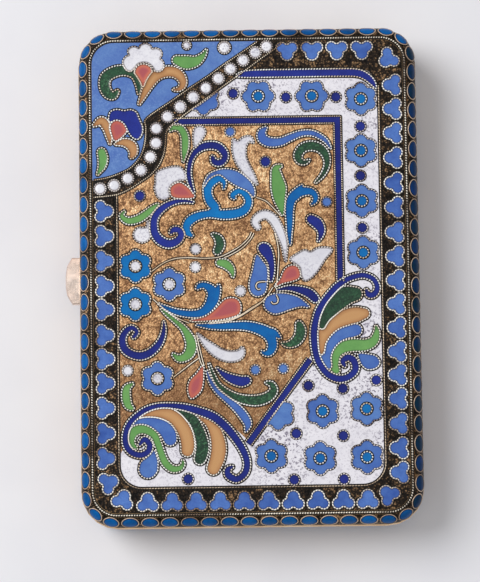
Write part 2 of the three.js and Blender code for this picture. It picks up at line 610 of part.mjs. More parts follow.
// A rivet head on the leaf.
function latchRivet(y) {
  const profile = [
    [0, 0],
    [RIVET_RADIUS, 0],
    [RIVET_RADIUS * 0.75, 0.35],
    [0, 0.5],
  ].map(([r, t]) => new THREE.Vector2(r, t));
  const geometry = new THREE.LatheGeometry(profile, 12);
  geometry.rotateZ(-Math.PI / 2);
  geometry.translate(wallInnerX + SPRING_THICK, y, catchMid);
  return toSolid(geometry);
}

// The upstanding strip inside the base that the lid closes over: three sides, open at the hinge and round
// the catch.
function innerRim() {
  const inset = WALL + RIM_PLAY;
  const strip = ring([
    [inset, RIM_DEPTH],
    [inset, -RIM_RISE + 0.25],
    [inset + RIM_THICK / 2, -RIM_RISE],
    [inset + RIM_THICK, -RIM_RISE],
    [inset + RIM_THICK, RIM_DEPTH],
  ]);
  const stripEnd = hingeX - slotHalf - CHANNEL_WALL - PIECE_GAP;
  const hingeSide = box(stripEnd, FAR + WIDTH / 2, -LENGTH, LENGTH, -9, 9);
  const reach = SPRING_SPAN / 2 + 2 + PIECE_GAP;
  const catchSide = box(-WIDTH, wallInnerX + 6, -reach, reach, -9, 9);
  return strip.subtract(hingeSide).subtract(catchSide);
}

// Ornament carriers

const plateTop = HALF_HEIGHT + PLATE;
const cellTop = plateTop + CELL_RISE;

function ovalBorder() {
  const span = Array.from({ length: SHOULDER_STEPS + 1 }, (_, i) =>
    radians(OVAL_FROM + (i / SHOULDER_STEPS) * (OVAL_TO - OVAL_FROM)),
  );
  const under = span.map((angle) => shoulder(angle, SOLDER_GAP));
  const over = span.map((angle) => shoulder(angle, SOLDER_GAP + SHOULDER_PLATE)).reverse();
  return ring([...under, ...over]);
}

function edgeBand() {
  const outer = -SOLDER_GAP - EDGE_THICK;
  return ring([
    [-SOLDER_GAP, 0],
    [outer + 0.15, 0],
    [outer, 0.4],
    [outer, EDGE_HEIGHT - 0.5],
    [outer + 0.25, EDGE_HEIGHT],
    [-SOLDER_GAP, EDGE_HEIGHT],
  ]);
}

// The outline of a leaf, from its spine of x, y and width.
function leaf(spine) {
  const sides = spine.map(([x, y, width], i) => {
    const [ax, ay] = spine[Math.max(i - 1, 0)];
    const [bx, by] = spine[Math.min(i + 1, spine.length - 1)];
    const out = new THREE.Vector2(by - ay, ax - bx).setLength((width * acrossStretch) / 2);
    return [[x + out.x, y + out.y], [x - out.x, y - out.y]];
  });
  return [...sides.map(([right]) => right), ...sides.map(([, left]) => left).reverse()];
}

const leaves = (spines) => spines.map((spine) => leaf(fitted(spine)));
const flowers = (places) =>
  places.map(([x, y]) => lobedCircle(FLOWER_RADIUS, 6, FLOWER_NOTCH, x, y, TAU / 4, 2));
const trefoil = (x, y, degrees, steps) =>
  lobedCircle(TREFOIL_RADIUS, 3, TREFOIL_NOTCH, x, y, radians(degrees + 180), steps);

// Cells of enamel, which may overlap, as one raised layer.
function cells(outlines) {
  const section = new wasm.CrossSection(outlines, "Positive");
  return section.extrude(CELL_RISE + PLATE).translate(0, 0, HALF_HEIGHT);
}

// A plate that carries cells. The region is its full height, and cells are cut to it.
function enamelled(region, outlines) {
  const thin = box(-WIDTH, WIDTH, -LENGTH, LENGTH, HALF_HEIGHT, plateTop);
  return largest(region.intersect(thin).add(region.intersect(cells(outlines))));
}

// Two round wires side by side on a strip.
function ropeBorder() {
  const mid = (ROPE_OUT + ROPE_IN) / 2;
  const valley = HALF_HEIGHT + PLATE * 0.6;
  return ring([
    [ROPE_OUT, HALF_HEIGHT],
    [ROPE_OUT, cellTop - 0.1],
    [ROPE_OUT + 0.18, cellTop],
    [mid, valley],
    [ROPE_IN - 0.18, cellTop],
    [ROPE_IN, cellTop - 0.1],
    [ROPE_IN, HALF_HEIGHT],
  ]);
}

const panelLineOut = BAND_IN + PIECE_GAP / 2;
const panelLineIn = panelLineOut + PANEL_LINE_WIDTH;

function rectangleInset(inset, radius) {
  return roundedRectangle(WIDTH / 2 - inset, LENGTH / 2 - inset, radius);
}

// The border between the ropes and the panel, full height.
function bandRegion() {
  const outline = caseOutline(ROPE_IN + PIECE_GAP / 2);
  const hole = rectangleInset(BAND_IN, PANEL_CORNER + PIECE_GAP / 2);
  return prism(outline, HALF_HEIGHT, cellTop, [hole]);
}

// Each trefoil has its single lobe inwards.
function lidTrefoils() {
  const side = WIDTH / 2 - TREFOIL_INSET;
  const end = LENGTH / 2 - TREFOIL_INSET;
  return [
    ...TREFOILS_LEFT.map((y) => trefoil(-side, y * alongStretch, 180, 3)),
    ...TREFOILS_RIGHT.map((y) => trefoil(side, y * alongStretch, 0, 3)),
    ...TREFOILS_LOWER.map((x) => trefoil(x * acrossStretch, -end, 270, 3)),
    ...TREFOILS_UPPER.map((x) => trefoil(x * acrossStretch, end, 90, 3)),
    ...fitted(TREFOILS_AT_CORNERS).map(([x, y, degrees]) => trefoil(x, y, degrees, 3)),
  ];
}

// Evenly spaced round the base, with one in each corner.
function baseTrefoils() {
  const side = WIDTH / 2 - TREFOIL_INSET;
  const end = LENGTH / 2 - TREFOIL_INSET;
  const spread = (count, reach) =>
    Array.from({ length: count }, (_, i) => reach * ((2 * i) / (count - 1) - 1));
  const CORNER_ROOM = 7; // straight rows stop this far from the corners' trefoils
  const heights = spread(15, end - CORNER_ROOM);
  const across = spread(9, side - CORNER_ROOM);
  return [
    ...heights.flatMap((y) => [trefoil(side, y, 0, 2), trefoil(-side, y, 180, 2)]),
    ...across.flatMap((x) => [trefoil(x, end, 90, 2), trefoil(x, -end, 270, 2)]),
    ...[45, 135, 225, 315].map((degrees) => {
      const CORNER_STEP = 1.4; // those of the corners lie further in
      const x = Math.sign(Math.cos(radians(degrees))) * (side - CORNER_STEP);
      const y = Math.sign(Math.sin(radians(degrees))) * (end - CORNER_STEP);
      return trefoil(x, y, degrees, 2);
    }),
  ];
}

function panelLine() {
  const outline = rectangleInset(panelLineOut, PANEL_CORNER);
  const hole = rectangleInset(panelLineIn, PANEL_CORNER - PANEL_LINE_WIDTH);
  return prism(outline, HALF_HEIGHT, cellTop, [hole]);
}

const panelInset = panelLineIn + PIECE_GAP;
const panelOutline = () => rectangleInset(panelInset, PANEL_CORNER - PANEL_LINE_WIDTH - PIECE_GAP);

// Moves an outline out by a distance, corner by corner; it runs anticlockwise.
function grown(outline, distance) {
  const count = outline.length;
  const turned = THREE.ShapeUtils.area(outline.map(([x, y]) => new THREE.Vector2(x, y))) < 0 ? -1 : 1;
  return outline.map(([x, y], i) => {
    const [ax, ay] = outline[(i + count - 1) % count];
    const [bx, by] = outline[(i + 1) % count];
    const before = new THREE.Vector2(y - ay, ax - x).normalize();
    const after = new THREE.Vector2(by - y, x - bx).normalize();
    const miter = before.clone().add(after).normalize();
    const reach = (turned * distance) / Math.max(miter.dot(after), 0.5);
    return [x + miter.x * reach, y + miter.y * reach];
  });
}

// Everything on the corner's side of a pearl line.
const cornerSide = (line) => [...line, [-WIDTH, LENGTH], [-WIDTH, line[0][1]]];
const cutter = (outline) => prism(outline, 0, HALF_HEIGHT * 2);
const flatOutline = () => caseOutline(ROPE_IN + PIECE_GAP / 2);
const plate = (outline) => prism(outline, HALF_HEIGHT, plateTop);
const raised = (outline) => prism(outline, HALF_HEIGHT, cellTop);

function lidCornerPanel() {
  const region = raised(flatOutline()).intersect(cutter(cornerSide(PEARL_INNER)));
  return enamelled(region, leaves(CORNER_LEAVES));
}

function dome(x, y, radius, rise) {
  const profile = [
    [0, -PLATE / 2],
    [radius, -PLATE / 2],
    [radius, rise * 0.25],
    [radius * 0.7, rise * 0.8],
    [0, rise],
  ].map(([r, t]) => new THREE.Vector2(r, t));
  const geometry = new THREE.LatheGeometry(profile, 8);
  geometry.rotateX(Math.PI / 2);
  return toSolid(geometry.translate(x, y, plateTop));
}

function lidPearlBand() {
  const pearls = PEARLS.map(([x, y]) => dome(x, y, PEARL_RADIUS, PEARL_RISE));
  return joined([plate(flatOutline()), ...pearls])
    .intersect(cutter(flatOutline()))
    .intersect(cutter(cornerSide(PEARL_OUTER)))
    .subtract(cutter(grown(cornerSide(PEARL_INNER), PIECE_GAP)));
}

const cornerRegion = () => cutter(grown(cornerSide(PEARL_OUTER), PIECE_GAP));

// The blue L round the gold field.
function frameOutline() {
  const [right, top] = FRAME_OUT;
  const [left, foot] = FRAME_END;
  return [
    [left, top - FRAME_WIDTH * 0.65],
    [left + 1.2, top - FRAME_WIDTH],
    [right - FRAME_WIDTH, top - FRAME_WIDTH],
    [right - FRAME_WIDTH, foot],
    [right, foot],
    [right, top],
    [left + 1.2, top],
  ];
}

function diagonalOutline() {
  const [from, to] = DIAGONAL;
  const run = new THREE.Vector2(to[0] - from[0], to[1] - from[1]).setLength(DIAGONAL_WIDTH / 2);
  return [
    [from[0] + run.y, from[1] - run.x],
    [to[0] + run.y, to[1] - run.x],
    [to[0] - run.y, to[1] + run.x],
    [from[0] - run.y, from[1] + run.x],
  ];
}

// The gold field: inside the frame, the diagonal, the two scrolls and the pearls.
function goldField() {
  const [right, top] = FRAME_OUT;
  return [
    [-WIDTH, top - FRAME_WIDTH],
    [-WIDTH, SCROLL_LOWER[0][1]],
    [SCROLL_LOWER[3][0], SCROLL_LOWER[3][1] - 2],
    DIAGONAL[0],
    DIAGONAL[1],
    [right - FRAME_WIDTH, FRAME_END[1]],
    [right - FRAME_WIDTH, top - FRAME_WIDTH],
  ];
}

// The largest body of a cut, where slivers fall away.
function largest(solid) {
  return solid.decompose().sort((a, b) => b.volume() - a.volume())[0];
}

// Cuts a plate back from the corner's pearls and from other outlines, by the width of a wire.
function clearOf(solid, outlines) {
  let left = solid.subtract(cornerRegion());
  for (const other of outlines) left = left.subtract(cutter(grown(other, PIECE_GAP)));
  return largest(left);
}

const lidScrolls = () => [SCROLL_RIGHT, SCROLL_LOWER];
const lidBands = () => [frameOutline(), diagonalOutline()];

function lidScrollPanel() {
  const field = raised(panelOutline()).intersect(cutter(grown(goldField(), -PIECE_GAP)));
  const region = clearOf(field, [...lidScrolls(), ...lidBands()]);
  return enamelled(region, [...leaves(FIELD_LEAVES), ...flowers(FLOWERS)]);
}

function topBandOutline() {
  const [[left, low], [right, high]] = TOP_BAND;
  return [
    [left, low],
    [right, low],
    [right, high],
    [left, high],
  ];
}

function lidTopBand() {
  const band = prism(panelOutline(), HALF_HEIGHT, cellTop).intersect(cutter(topBandOutline()));
  return clearOf(band, []);
}

// The white ground, which the right scroll parts into an upper and a lower panel.
function lidStarPanel(fromY, toY) {
  const part = box(-WIDTH, WIDTH, fromY, toY, HALF_HEIGHT, cellTop).intersect(cutter(panelOutline()));
  const region = clearOf(part, [goldField(), topBandOutline(), ...lidScrolls(), ...lidBands()]);
  return enamelled(region, flowers(FLOWERS));
}

// A scroll lies inside the panel's wire.
function lidScroll(outline, spines) {
  return enamelled(raised(outline).intersect(raised(panelOutline())), leaves(spines));
}

// Underside: the same borders, and a gold field round a medallion on which the case rests.
const MEDALLION_RADIUS = 13;
const MEDALLION_LOBES = 12;

// A circle with lobes, the first at the turn; the steps are the points of each lobe.
function lobedCircle(radius, lobes, depth, x = 0, y = 0, turn = 0, steps = 4) {
  return Array.from({ length: lobes * steps }, (_, i) => {
    const angle = ((i + 0.5 * (steps % 2)) / (lobes * steps)) * TAU;
    const r = radius - depth * (1 - Math.abs(Math.cos((angle * lobes) / 2)));
    return [x + r * Math.cos(angle + turn), y + r * Math.sin(angle + turn)];
  });
}

const medallionOutline = () => lobedCircle(MEDALLION_RADIUS, MEDALLION_LOBES, 0.8);

function baseScrollPanel() {
  const region = raised(panelOutline()).subtract(cutter(grown(medallionOutline(), PIECE_GAP)));
  const quarters = [[1, 1], [-1, 1], [-1, -1], [1, -1]].flatMap(([sx, sy]) =>
    leaves(BASE_LEAVES).map((outline) => {
      const turned = outline.map(([x, y]) => [x * sx, y * sy]);
      return sx * sy < 0 ? turned.reverse() : turned;
    }),
  );
  return enamelled(region, [...quarters, ...flowers(BASE_FLOWERS)]);
}

// Assembly

const caseGroup = new THREE.Group();
const lidGroup = new THREE.Group();
lidGroup.position.z = PARTING_Z;
const baseGroup = new THREE.Group();
baseGroup.position.z = PARTING_Z;
baseGroup.scale.z = -1;
const catchGroup = new THREE.Group();
catchGroup.position.z = PARTING_Z;
caseGroup.add(lidGroup, baseGroup, catchGroup);

const shell = shellHalf().subtract(hingeRoom());
const notch = thumbNotch();
const edge = edgeBand().subtract(hingeRoom());
const hingeSideCut = box(hingeX - slotHalf, WIDTH, -hingeReach, hingeReach, -1, EDGE_HEIGHT + 1);

lidGroup.add(
  toMesh("lid_shell", shell, SATIN_GILT),
  toMesh("lid_edge_band", edge.subtract(hingeSideCut), GILT),
  toMesh("lid_hinge_channel", hingeChannel(), SATIN_GILT),
  toMesh("lid_catch_keeper", lidKeeper(), SATIN_GILT),
  toMesh("lid_oval_border", ovalBorder(), OVAL_BLUE),
  toMesh("lid_rope_border", ropeBorder(), GILT),
  toMesh("lid_trefoil_border", enamelled(clearOf(bandRegion(), []), lidTrefoils()), DARK_GILT),
  toMesh("lid_panel_line", clearOf(panelLine(), []), GILT),
  toMesh("lid_corner_panel", lidCornerPanel(), GROUND_BLUE),
  toMesh("lid_pearl_band", lidPearlBand(), WHITE),
  toMesh("lid_top_band", lidTopBand(), ROYAL_BLUE),
  toMesh("lid_field_frame", clearOf(raised(frameOutline()), lidScrolls()), ROYAL_BLUE),
  toMesh("lid_diagonal_line", clearOf(raised(diagonalOutline()), lidScrolls()), ROYAL_BLUE),
  toMesh("lid_star_panel_upper", lidStarPanel(SCROLL_RIGHT_MIDDLE, LENGTH), WHITE),
  toMesh("lid_star_panel_lower", lidStarPanel(-LENGTH, SCROLL_RIGHT_MIDDLE), WHITE),
  toMesh("lid_scroll_panel", lidScrollPanel(), DARK_GILT),
  toMesh("lid_scroll_right", lidScroll(SCROLL_RIGHT, RIGHT_LEAVES), ROYAL_BLUE),
  toMesh("lid_scroll_lower", lidScroll(SCROLL_LOWER, LOWER_LEAVES), ROYAL_BLUE),
);

baseGroup.add(
  toMesh("base_shell", shell.subtract(notch), SATIN_GILT),
  toMesh("base_hinge_channel", hingeChannel(), SATIN_GILT),
  toMesh("base_oval_border", ovalBorder(), OVAL_BLUE),
  toMesh("base_rope_border", ropeBorder(), GILT),
  toMesh("base_trefoil_border", enamelled(bandRegion(), baseTrefoils()), DARK_GILT),
  toMesh("base_panel_line", panelLine(), GILT),
  toMesh("base_scroll_panel", baseScrollPanel(), DARK_GILT),
  toMesh("base_medallion", raised(medallionOutline()), WHITE),
);

// The hinge and the catch part the base's edge band and inner rim into two lengths each.
const baseEdge = edge.subtract(hingeSideCut).subtract(notch);
const baseRim = innerRim();
for (const [side, end] of [[1, "upper"], [-1, "lower"]]) {
  const y = [0, side * LENGTH].sort((a, b) => a - b);
  const thatEnd = box(-WIDTH, WIDTH, ...y, -HALF_HEIGHT, HALF_HEIGHT);
  baseGroup.add(
    toMesh(`base_edge_band_${end}`, baseEdge.intersect(thatEnd), GILT),
    toMesh(`base_inner_rim_${end}`, baseRim.intersect(thatEnd), GILT),
  );
}

knuckleSpans().forEach(([from, to], i) => {
  const ofBase = i % 2 === 0;
  const group = ofBase ? baseGroup : lidGroup;
  const name = ofBase ? `base_knuckle_${i / 2 + 1}` : `lid_knuckle_${(i + 1) / 2}`;
  group.add(toMesh(name, knuckle(from, to), SATIN_GILT));
});

const pin = along(circle(PIN_RADIUS, 12, hingeX), -HINGE_LENGTH / 2, HINGE_LENGTH / 2);
baseGroup.add(
  toMesh("hinge_pin", pin, SPRING_STEEL),
  toMesh("hinge_cap_upper", hingeCap(1), GILT),
  toMesh("hinge_cap_lower", hingeCap(-1), GILT),
);

catchGroup.add(
  toMesh("thumb_piece", thumbPiece(), ROSE_GILT),
  toMesh("thumb_stem", thumbStem(), SATIN_GILT),
  toMesh("catch_hook", catchHook(), SATIN_GILT),
  toMesh("latch_spring", latchSpring(), SPRING_STEEL),
  toMesh("latch_rivet_upper", latchRivet(SPRING_SPAN / 2), SATIN_GILT),
  toMesh("latch_rivet_lower", latchRivet(-SPRING_SPAN / 2), SATIN_GILT),
);

export default caseGroup;
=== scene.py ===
# Looks for the cloisonne cigarette case: enamel cells between twisted wires, on gilt and white grounds.
# Plan values are millimetres in the model's own frame; the meshes are metres.
import math

import bpy
import numpy as np
from mathutils import Matrix, Vector, geometry


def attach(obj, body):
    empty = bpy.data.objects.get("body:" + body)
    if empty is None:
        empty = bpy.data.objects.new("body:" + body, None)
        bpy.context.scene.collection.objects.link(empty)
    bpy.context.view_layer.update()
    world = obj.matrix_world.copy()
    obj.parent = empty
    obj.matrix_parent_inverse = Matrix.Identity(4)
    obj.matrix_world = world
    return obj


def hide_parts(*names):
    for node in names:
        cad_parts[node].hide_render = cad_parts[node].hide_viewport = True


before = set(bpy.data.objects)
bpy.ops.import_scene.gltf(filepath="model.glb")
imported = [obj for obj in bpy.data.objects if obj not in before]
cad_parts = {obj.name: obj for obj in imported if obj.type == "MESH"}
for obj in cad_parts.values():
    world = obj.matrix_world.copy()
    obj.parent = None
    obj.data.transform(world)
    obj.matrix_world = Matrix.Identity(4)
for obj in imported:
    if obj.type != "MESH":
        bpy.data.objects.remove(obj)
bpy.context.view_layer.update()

# Sizes of the case, as its solids have them.
MM = 0.001
WIDTH, LENGTH, CORNER = 74.2, 109.2, 7.6
HALF_HEIGHT, RIM_ZONE, SHOULDER_IN = 8.3, 4.8, 2.0
PLATE, CELL_RISE, SOLDER_GAP, SHOULDER_PLATE = 0.3, 0.15, 0.05, 0.25
PARTING = HALF_HEIGHT + PLATE + CELL_RISE  # height of the plane between the halves

# Insets from the shell's outline, and corner radii.
ROPE_INSET, FLAT_INSET, TREFOIL_INSET = 2.38, 2.85, 5.1
LINE_INSET, LINE_CORNER = 8.15, 5.0
PANEL_INSET, PANEL_CORNER = 8.4, 4.4
PANEL_DROP = 0.42  # the lid's panels lie this much lower in plan

# Curves in plan.
CORNER_STEPS = 10
SPINE_STEP, LOOP_STEP, SMOOTH_STEP, RIBBON_STEP = 0.22, 0.2, 0.18, 0.25
THINNEST, BLUNT_END = 0.12, 0.5  # narrowest stroke, and the width from which its end is round
BLOCK = 400  # points handled at a time


def rounded(half_x, half_y, radius):
    """A rectangle about the origin with round corners."""
    points = []
    for sx, sy, quarter in ((1, 1, 0), (-1, 1, 1), (-1, -1, 2), (1, -1, 3)):
        for i in range(CORNER_STEPS + 1):
            a = (quarter + i / CORNER_STEPS) * math.pi / 2
            x = sx * (half_x - radius) + radius * math.cos(a)
            y = sy * (half_y - radius) + radius * math.sin(a)
            points.append((x, y))
    return np.array(points)


def case_outline(inset):
    return rounded(WIDTH / 2 - inset, LENGTH / 2 - inset, CORNER - inset)


def steps_of(p):
    """Plan distances between neighbouring points."""
    return np.linalg.norm(np.diff(p[:, :2], axis=0), axis=1)


def resample(points, step, closed):
    """Points at even steps along a polyline."""
    p = np.asarray(points, float)
    if closed:
        p = np.vstack([p, p[:1]])
    p = p[np.concatenate([[True], steps_of(p) > 1e-6])]
    run = np.concatenate([[0], np.cumsum(steps_of(p))])
    count = max(int(round(run[-1] / step)), 4)
    at = np.linspace(0, run[-1], count + 1)
    if closed:
        at = at[:-1]
    return np.column_stack([np.interp(at, run, p[:, k]) for k in range(p.shape[1])])


def curve(points, closed=False, step=LOOP_STEP):
    """A Catmull-Rom curve through the points, at even steps. Further columns, such as widths, go along."""
    p = np.asarray(points, float)
    n = len(p)
    out = []
    for i in range(n if closed else n - 1):
        if closed:
            a, b, c, d = p[(i - 1) % n], p[i], p[(i + 1) % n], p[(i + 2) % n]
        else:
            a, b, c, d = p[max(i - 1, 0)], p[i], p[i + 1], p[min(i + 2, n - 1)]
        for t in np.linspace(0, 1, 10, endpoint=False):
            bend = (2 * a - 5 * b + 4 * c - d) * t * t
            out.append(0.5 * (2 * b + (c - a) * t + bend + (3 * b - a - 3 * c + d) * t**3))
    if not closed:
        out.append(p[-1])
    return resample(out, step, closed)


def unit(rows):
    return rows / np.maximum(np.linalg.norm(rows, axis=1, keepdims=True), 1e-9)


def tangents(p, closed):
    return unit(np.roll(p, -1, 0) - np.roll(p, 1, 0) if closed else np.gradient(p, axis=0))


def normals(p, closed):
    """Left-hand normals of a plan curve."""
    d = tangents(p, closed)
    return np.column_stack([-d[:, 1], d[:, 0]])


def stroke(points):
    """The outline of a spine of (x, y, width) points, rounded where an end is wide."""
    c = curve(points, step=SPINE_STEP)
    xy, half = c[:, :2], np.maximum(c[:, 2], THINNEST) / 2
    n = normals(xy, False)
    left, right = xy + n * half[:, None], xy - n * half[:, None]
    outline = list(right)
    for end, sign in ((-1, 1), (0, -1)):
        if half[end] * 2 > BLUNT_END:
            along = np.array([n[end, 1], -n[end, 0]]) * sign
            side = -n[end] * sign
            for i in range(1, 6):
                a = math.pi * i / 6
                outline.append(xy[end] + half[end] * (side * math.cos(a) + along * math.sin(a)))
        if end == -1:
            outline.extend(left[::-1])
    return np.array(outline)


def band(points, half):
    """The outline of a line of constant width with mitred corners."""
    p = np.asarray(points, float)
    d = unit(np.diff(p, axis=0))
    n = np.column_stack([-d[:, 1], d[:, 0]])
    middle = []
    for a, b in zip(n[:-1], n[1:]):
        m = (a + b) / np.linalg.norm(a + b)
        middle.append(m / m.dot(a))
    miter = np.vstack([n[:1], np.array(middle).reshape(-1, 2), n[-1:]])
    return np.vstack([p - miter * half, (p + miter * half)[::-1]])


def lobed(x, y, radius, lobes, depth, turn, count):
    """A round outline with cusps of that depth between its lobes."""
    a = np.linspace(0, 2 * math.pi, count, endpoint=False)
    r = radius - depth * (1 - np.abs(np.cos((a - turn) * lobes / 2)))
    return np.column_stack([x + r * np.cos(a), y + r * np.sin(a)])


def disc(x, y, radius, count=28):
    return lobed(x, y, radius, 1, 0, 0, count)


def area(outline):
    x, y = outline[:, 0], outline[:, 1]
    return 0.5 * float(np.sum(x * np.roll(y, -1) - np.roll(x, -1) * y))


def leftward(loop):
    """The loop, run counterclockwise."""
    return loop if area(loop) > 0 else loop[::-1]


def smoothed(outline, rounds=2):
    p = resample(outline, SMOOTH_STEP, True)
    for _ in range(rounds):
        p = 0.5 * p + 0.25 * (np.roll(p, 1, 0) + np.roll(p, -1, 0))
    return p


def grown(outline, by):
    """The outline moved outwards."""
    loop = leftward(outline)
    return loop - normals(loop, True) * by


def turned(outline, x, y, degrees):
    a = math.radians(degrees)
    c, s = math.cos(a), math.sin(a)
    return outline @ np.array([[c, s], [-s, c]]) + (x, y)


def filled(outlines, free=(), rule=bool):
    """Triangles inside those outlines, taken where the set of covering outlines passes the rule."""
    verts, faces = [], []
    for outline in outlines:
        loop = leftward(outline)
        faces.append(list(range(len(verts), len(verts) + len(loop))))
        verts += [Vector((float(x), float(y))) for x, y in loop]
    verts += [Vector((float(x), float(y))) for x, y in free]
    v, _, f, _, _, covers = geometry.delaunay_2d_cdt(verts, [], faces, 1, 1e-5, True)
    kept = [t for t, cover in zip(f, covers) if rule(set(cover))]
    return np.array([p[:] for p in v]), np.array(kept, int).reshape(-1, 3)


def combined(outlines, rule=bool):
    """The largest loop round the parts of the plane whose set of covering outlines passes the rule."""
    v, f = filled(outlines, rule=rule)
    edges = {(int(t[i]), int(t[(i + 1) % 3])) for t in f for i in range(3)}
    nexts = {}
    for a, b in edges:
        if (b, a) not in edges:
            nexts.setdefault(a, []).append(b)
    best = []
    while nexts:
        start = a = next(iter(nexts))
        loop = []
        while a in nexts:
            loop.append(a)
            b = nexts[a].pop()
            if not nexts[a]:
                del nexts[a]
            a = b
            if a == start:
                break
        if a == start and len(loop) > len(best):
            best = loop
    return v[best]


def common(a, b):
    """The part of the plane that both outlines cover."""
    return combined([a, np.asarray(b, float)], lambda cover: cover == {0, 1})


def cell_outline(shapes):
    """One outline round shapes that are each a spine of (x, y, width) or a loop of (x, y)."""
    outlines = [stroke(s) if len(s[0]) == 3 else curve(s, closed=True) for s in shapes]
    if len(outlines) == 1:
        return outlines[0]
    joined = combined(outlines)
    return joined if len(joined) >= 10 else outlines[0]


def from_edge(p, outline):
    """Distance of points from an outline."""
    a, b = outline, np.roll(outline, -1, 0)
    ab = b - a
    size = np.maximum((ab**2).sum(1), 1e-12)
    best = np.full(len(p), 1e9)
    for i in range(0, len(p), BLOCK):
        q = p[i : i + BLOCK]
        t = np.clip(((q[:, None] - a) * ab).sum(2) / size, 0, 1)
        best[i : i + BLOCK] = np.linalg.norm(q[:, None] - (a + t[..., None] * ab), axis=2).min(1)
    return best


def inside(p, outline):
    crossings = np.zeros(len(p), int)
    for (ax, ay), (bx, by) in zip(outline, np.roll(outline, -1, 0)):
        if ay != by:
            level = (ay > p[:, 1]) != (by > p[:, 1])
            crossings += level & (p[:, 0] < (bx - ax) * (p[:, 1] - ay) / (by - ay) + ax)
    return crossings % 2 == 1


# Surfaces that the ornament lies on.
STRAIGHT_X, STRAIGHT_Y = WIDTH - 2 * CORNER, LENGTH - 2 * CORNER
ARC = CORNER * math.pi / 2
PERIMETER = 2 * (STRAIGHT_X + STRAIGHT_Y) + 4 * ARC


def shoulder(angle, rise):
    """Inset and height of the shoulder's section, raised off the metal."""
    height = HALF_HEIGHT - RIM_ZONE
    out, up = np.cos(angle), np.sin(angle)
    length = np.hypot(out / SHOULDER_IN, up / height)
    inset = SHOULDER_IN * (1 - out) - rise * out / SHOULDER_IN / length
    return inset, RIM_ZONE + height * up + rise * up / height / length


def rim_point(s):
    """Point and outward normal at a length along the shell's outline, from the lower end of the +X side."""
    s = np.mod(np.asarray(s, float), PERIMETER)
    point, normal = np.zeros((len(s), 2)), np.zeros((len(s), 2))
    start = 0.0
    x, y = WIDTH / 2 - CORNER, LENGTH / 2 - CORNER
    corners = [(x, y), (-x, y), (-x, -y), (x, -y)]
    for side, length in enumerate((STRAIGHT_Y, STRAIGHT_X, STRAIGHT_Y, STRAIGHT_X)):
        a = side * math.pi / 2
        n = np.array([math.cos(a), math.sin(a)])
        along = np.array([-n[1], n[0]])
        centre = np.array(corners[side])
        here = (s >= start) & (s < start + length)
        point[here] = centre + n * CORNER - along * (start + length - s[here])[:, None]
        normal[here] = n
        start += length
        here = (s >= start) & (s < start + ARC + 1e-9)
        turn = a + (s[here] - start) / CORNER
        normal[here] = np.column_stack([np.cos(turn), np.sin(turn)])
        point[here] = centre + CORNER * normal[here]
        start += ARC
    return point, normal


SKIN = SOLDER_GAP + SHOULDER_PLATE  # top of the plate that the ovals lie on
ANGLES = np.linspace(0, math.pi / 2, 200)
INSETS, HEIGHTS = shoulder(ANGLES, SKIN)
RUNS = np.concatenate([[0], np.cumsum(np.hypot(np.diff(INSETS), np.diff(HEIGHTS)))])
OVAL_FROM, OVAL_TO = math.radians(24), math.radians(87)
SECTION_FROM, SECTION_TO = np.interp((OVAL_FROM, OVAL_TO), ANGLES, RUNS)
SECTION_SPAN = float(SECTION_TO - SECTION_FROM)
EVEN_SHARE = 0.35  # of even spacing along the section; the rest is even as seen from above


class Ground:
    """Where ornament lies: a flat face or the shoulder of the lid or of the base."""

    def __init__(self, half, on_shoulder=False):
        self.on_shoulder = on_shoulder
        self.flipped = half != "lid"
        self.sign = -1 if self.flipped else 1

    def place(self, uv, h):
        uv = np.asarray(uv, float)
        h = np.broadcast_to(np.asarray(h, float), (len(uv),))
        if not self.on_shoulder:
            return np.column_stack([uv, PARTING + self.sign * (HALF_HEIGHT + PLATE + h)])
        part = uv[:, 1] / SECTION_SPAN + 0.5
        by_run = np.interp(SECTION_FROM + part * SECTION_SPAN, RUNS, ANGLES)
        out = np.clip(math.cos(OVAL_FROM) + part * (math.cos(OVAL_TO) - math.cos(OVAL_FROM)), 0, 1)
        angle = EVEN_SHARE * by_run + (1 - EVEN_SHARE) * np.arccos(out)
        inset, high = shoulder(angle, SKIN + h)
        point, normal = rim_point(uv[:, 0])
        return np.column_stack([point - normal * inset[:, None], PARTING + self.sign * high])


# Meshes.
WIRE_SIDES, BEAD_STEPS = 8, 6
WIRE_SLANT = 0.2  # how far a bead leans along the wire
WIRE_RADIUS = 0.175
# Free points of a cell: inset of their ring, and least distance from the edge for that ring and for the grid.
RING_IN, RING_CLEAR, GRID_CLEAR = 0.17, 0.12, 0.3
MENISCUS, DEEP = 0.55, 2.0  # widths over which enamel levels out, and over which its tone changes
GROUND_EDGE = 0.1
RANDOM = np.random.default_rng(7)


def placed(name, data):
    obj = bpy.data.objects.new(name, data)
    bpy.context.scene.collection.objects.link(obj)
    return obj


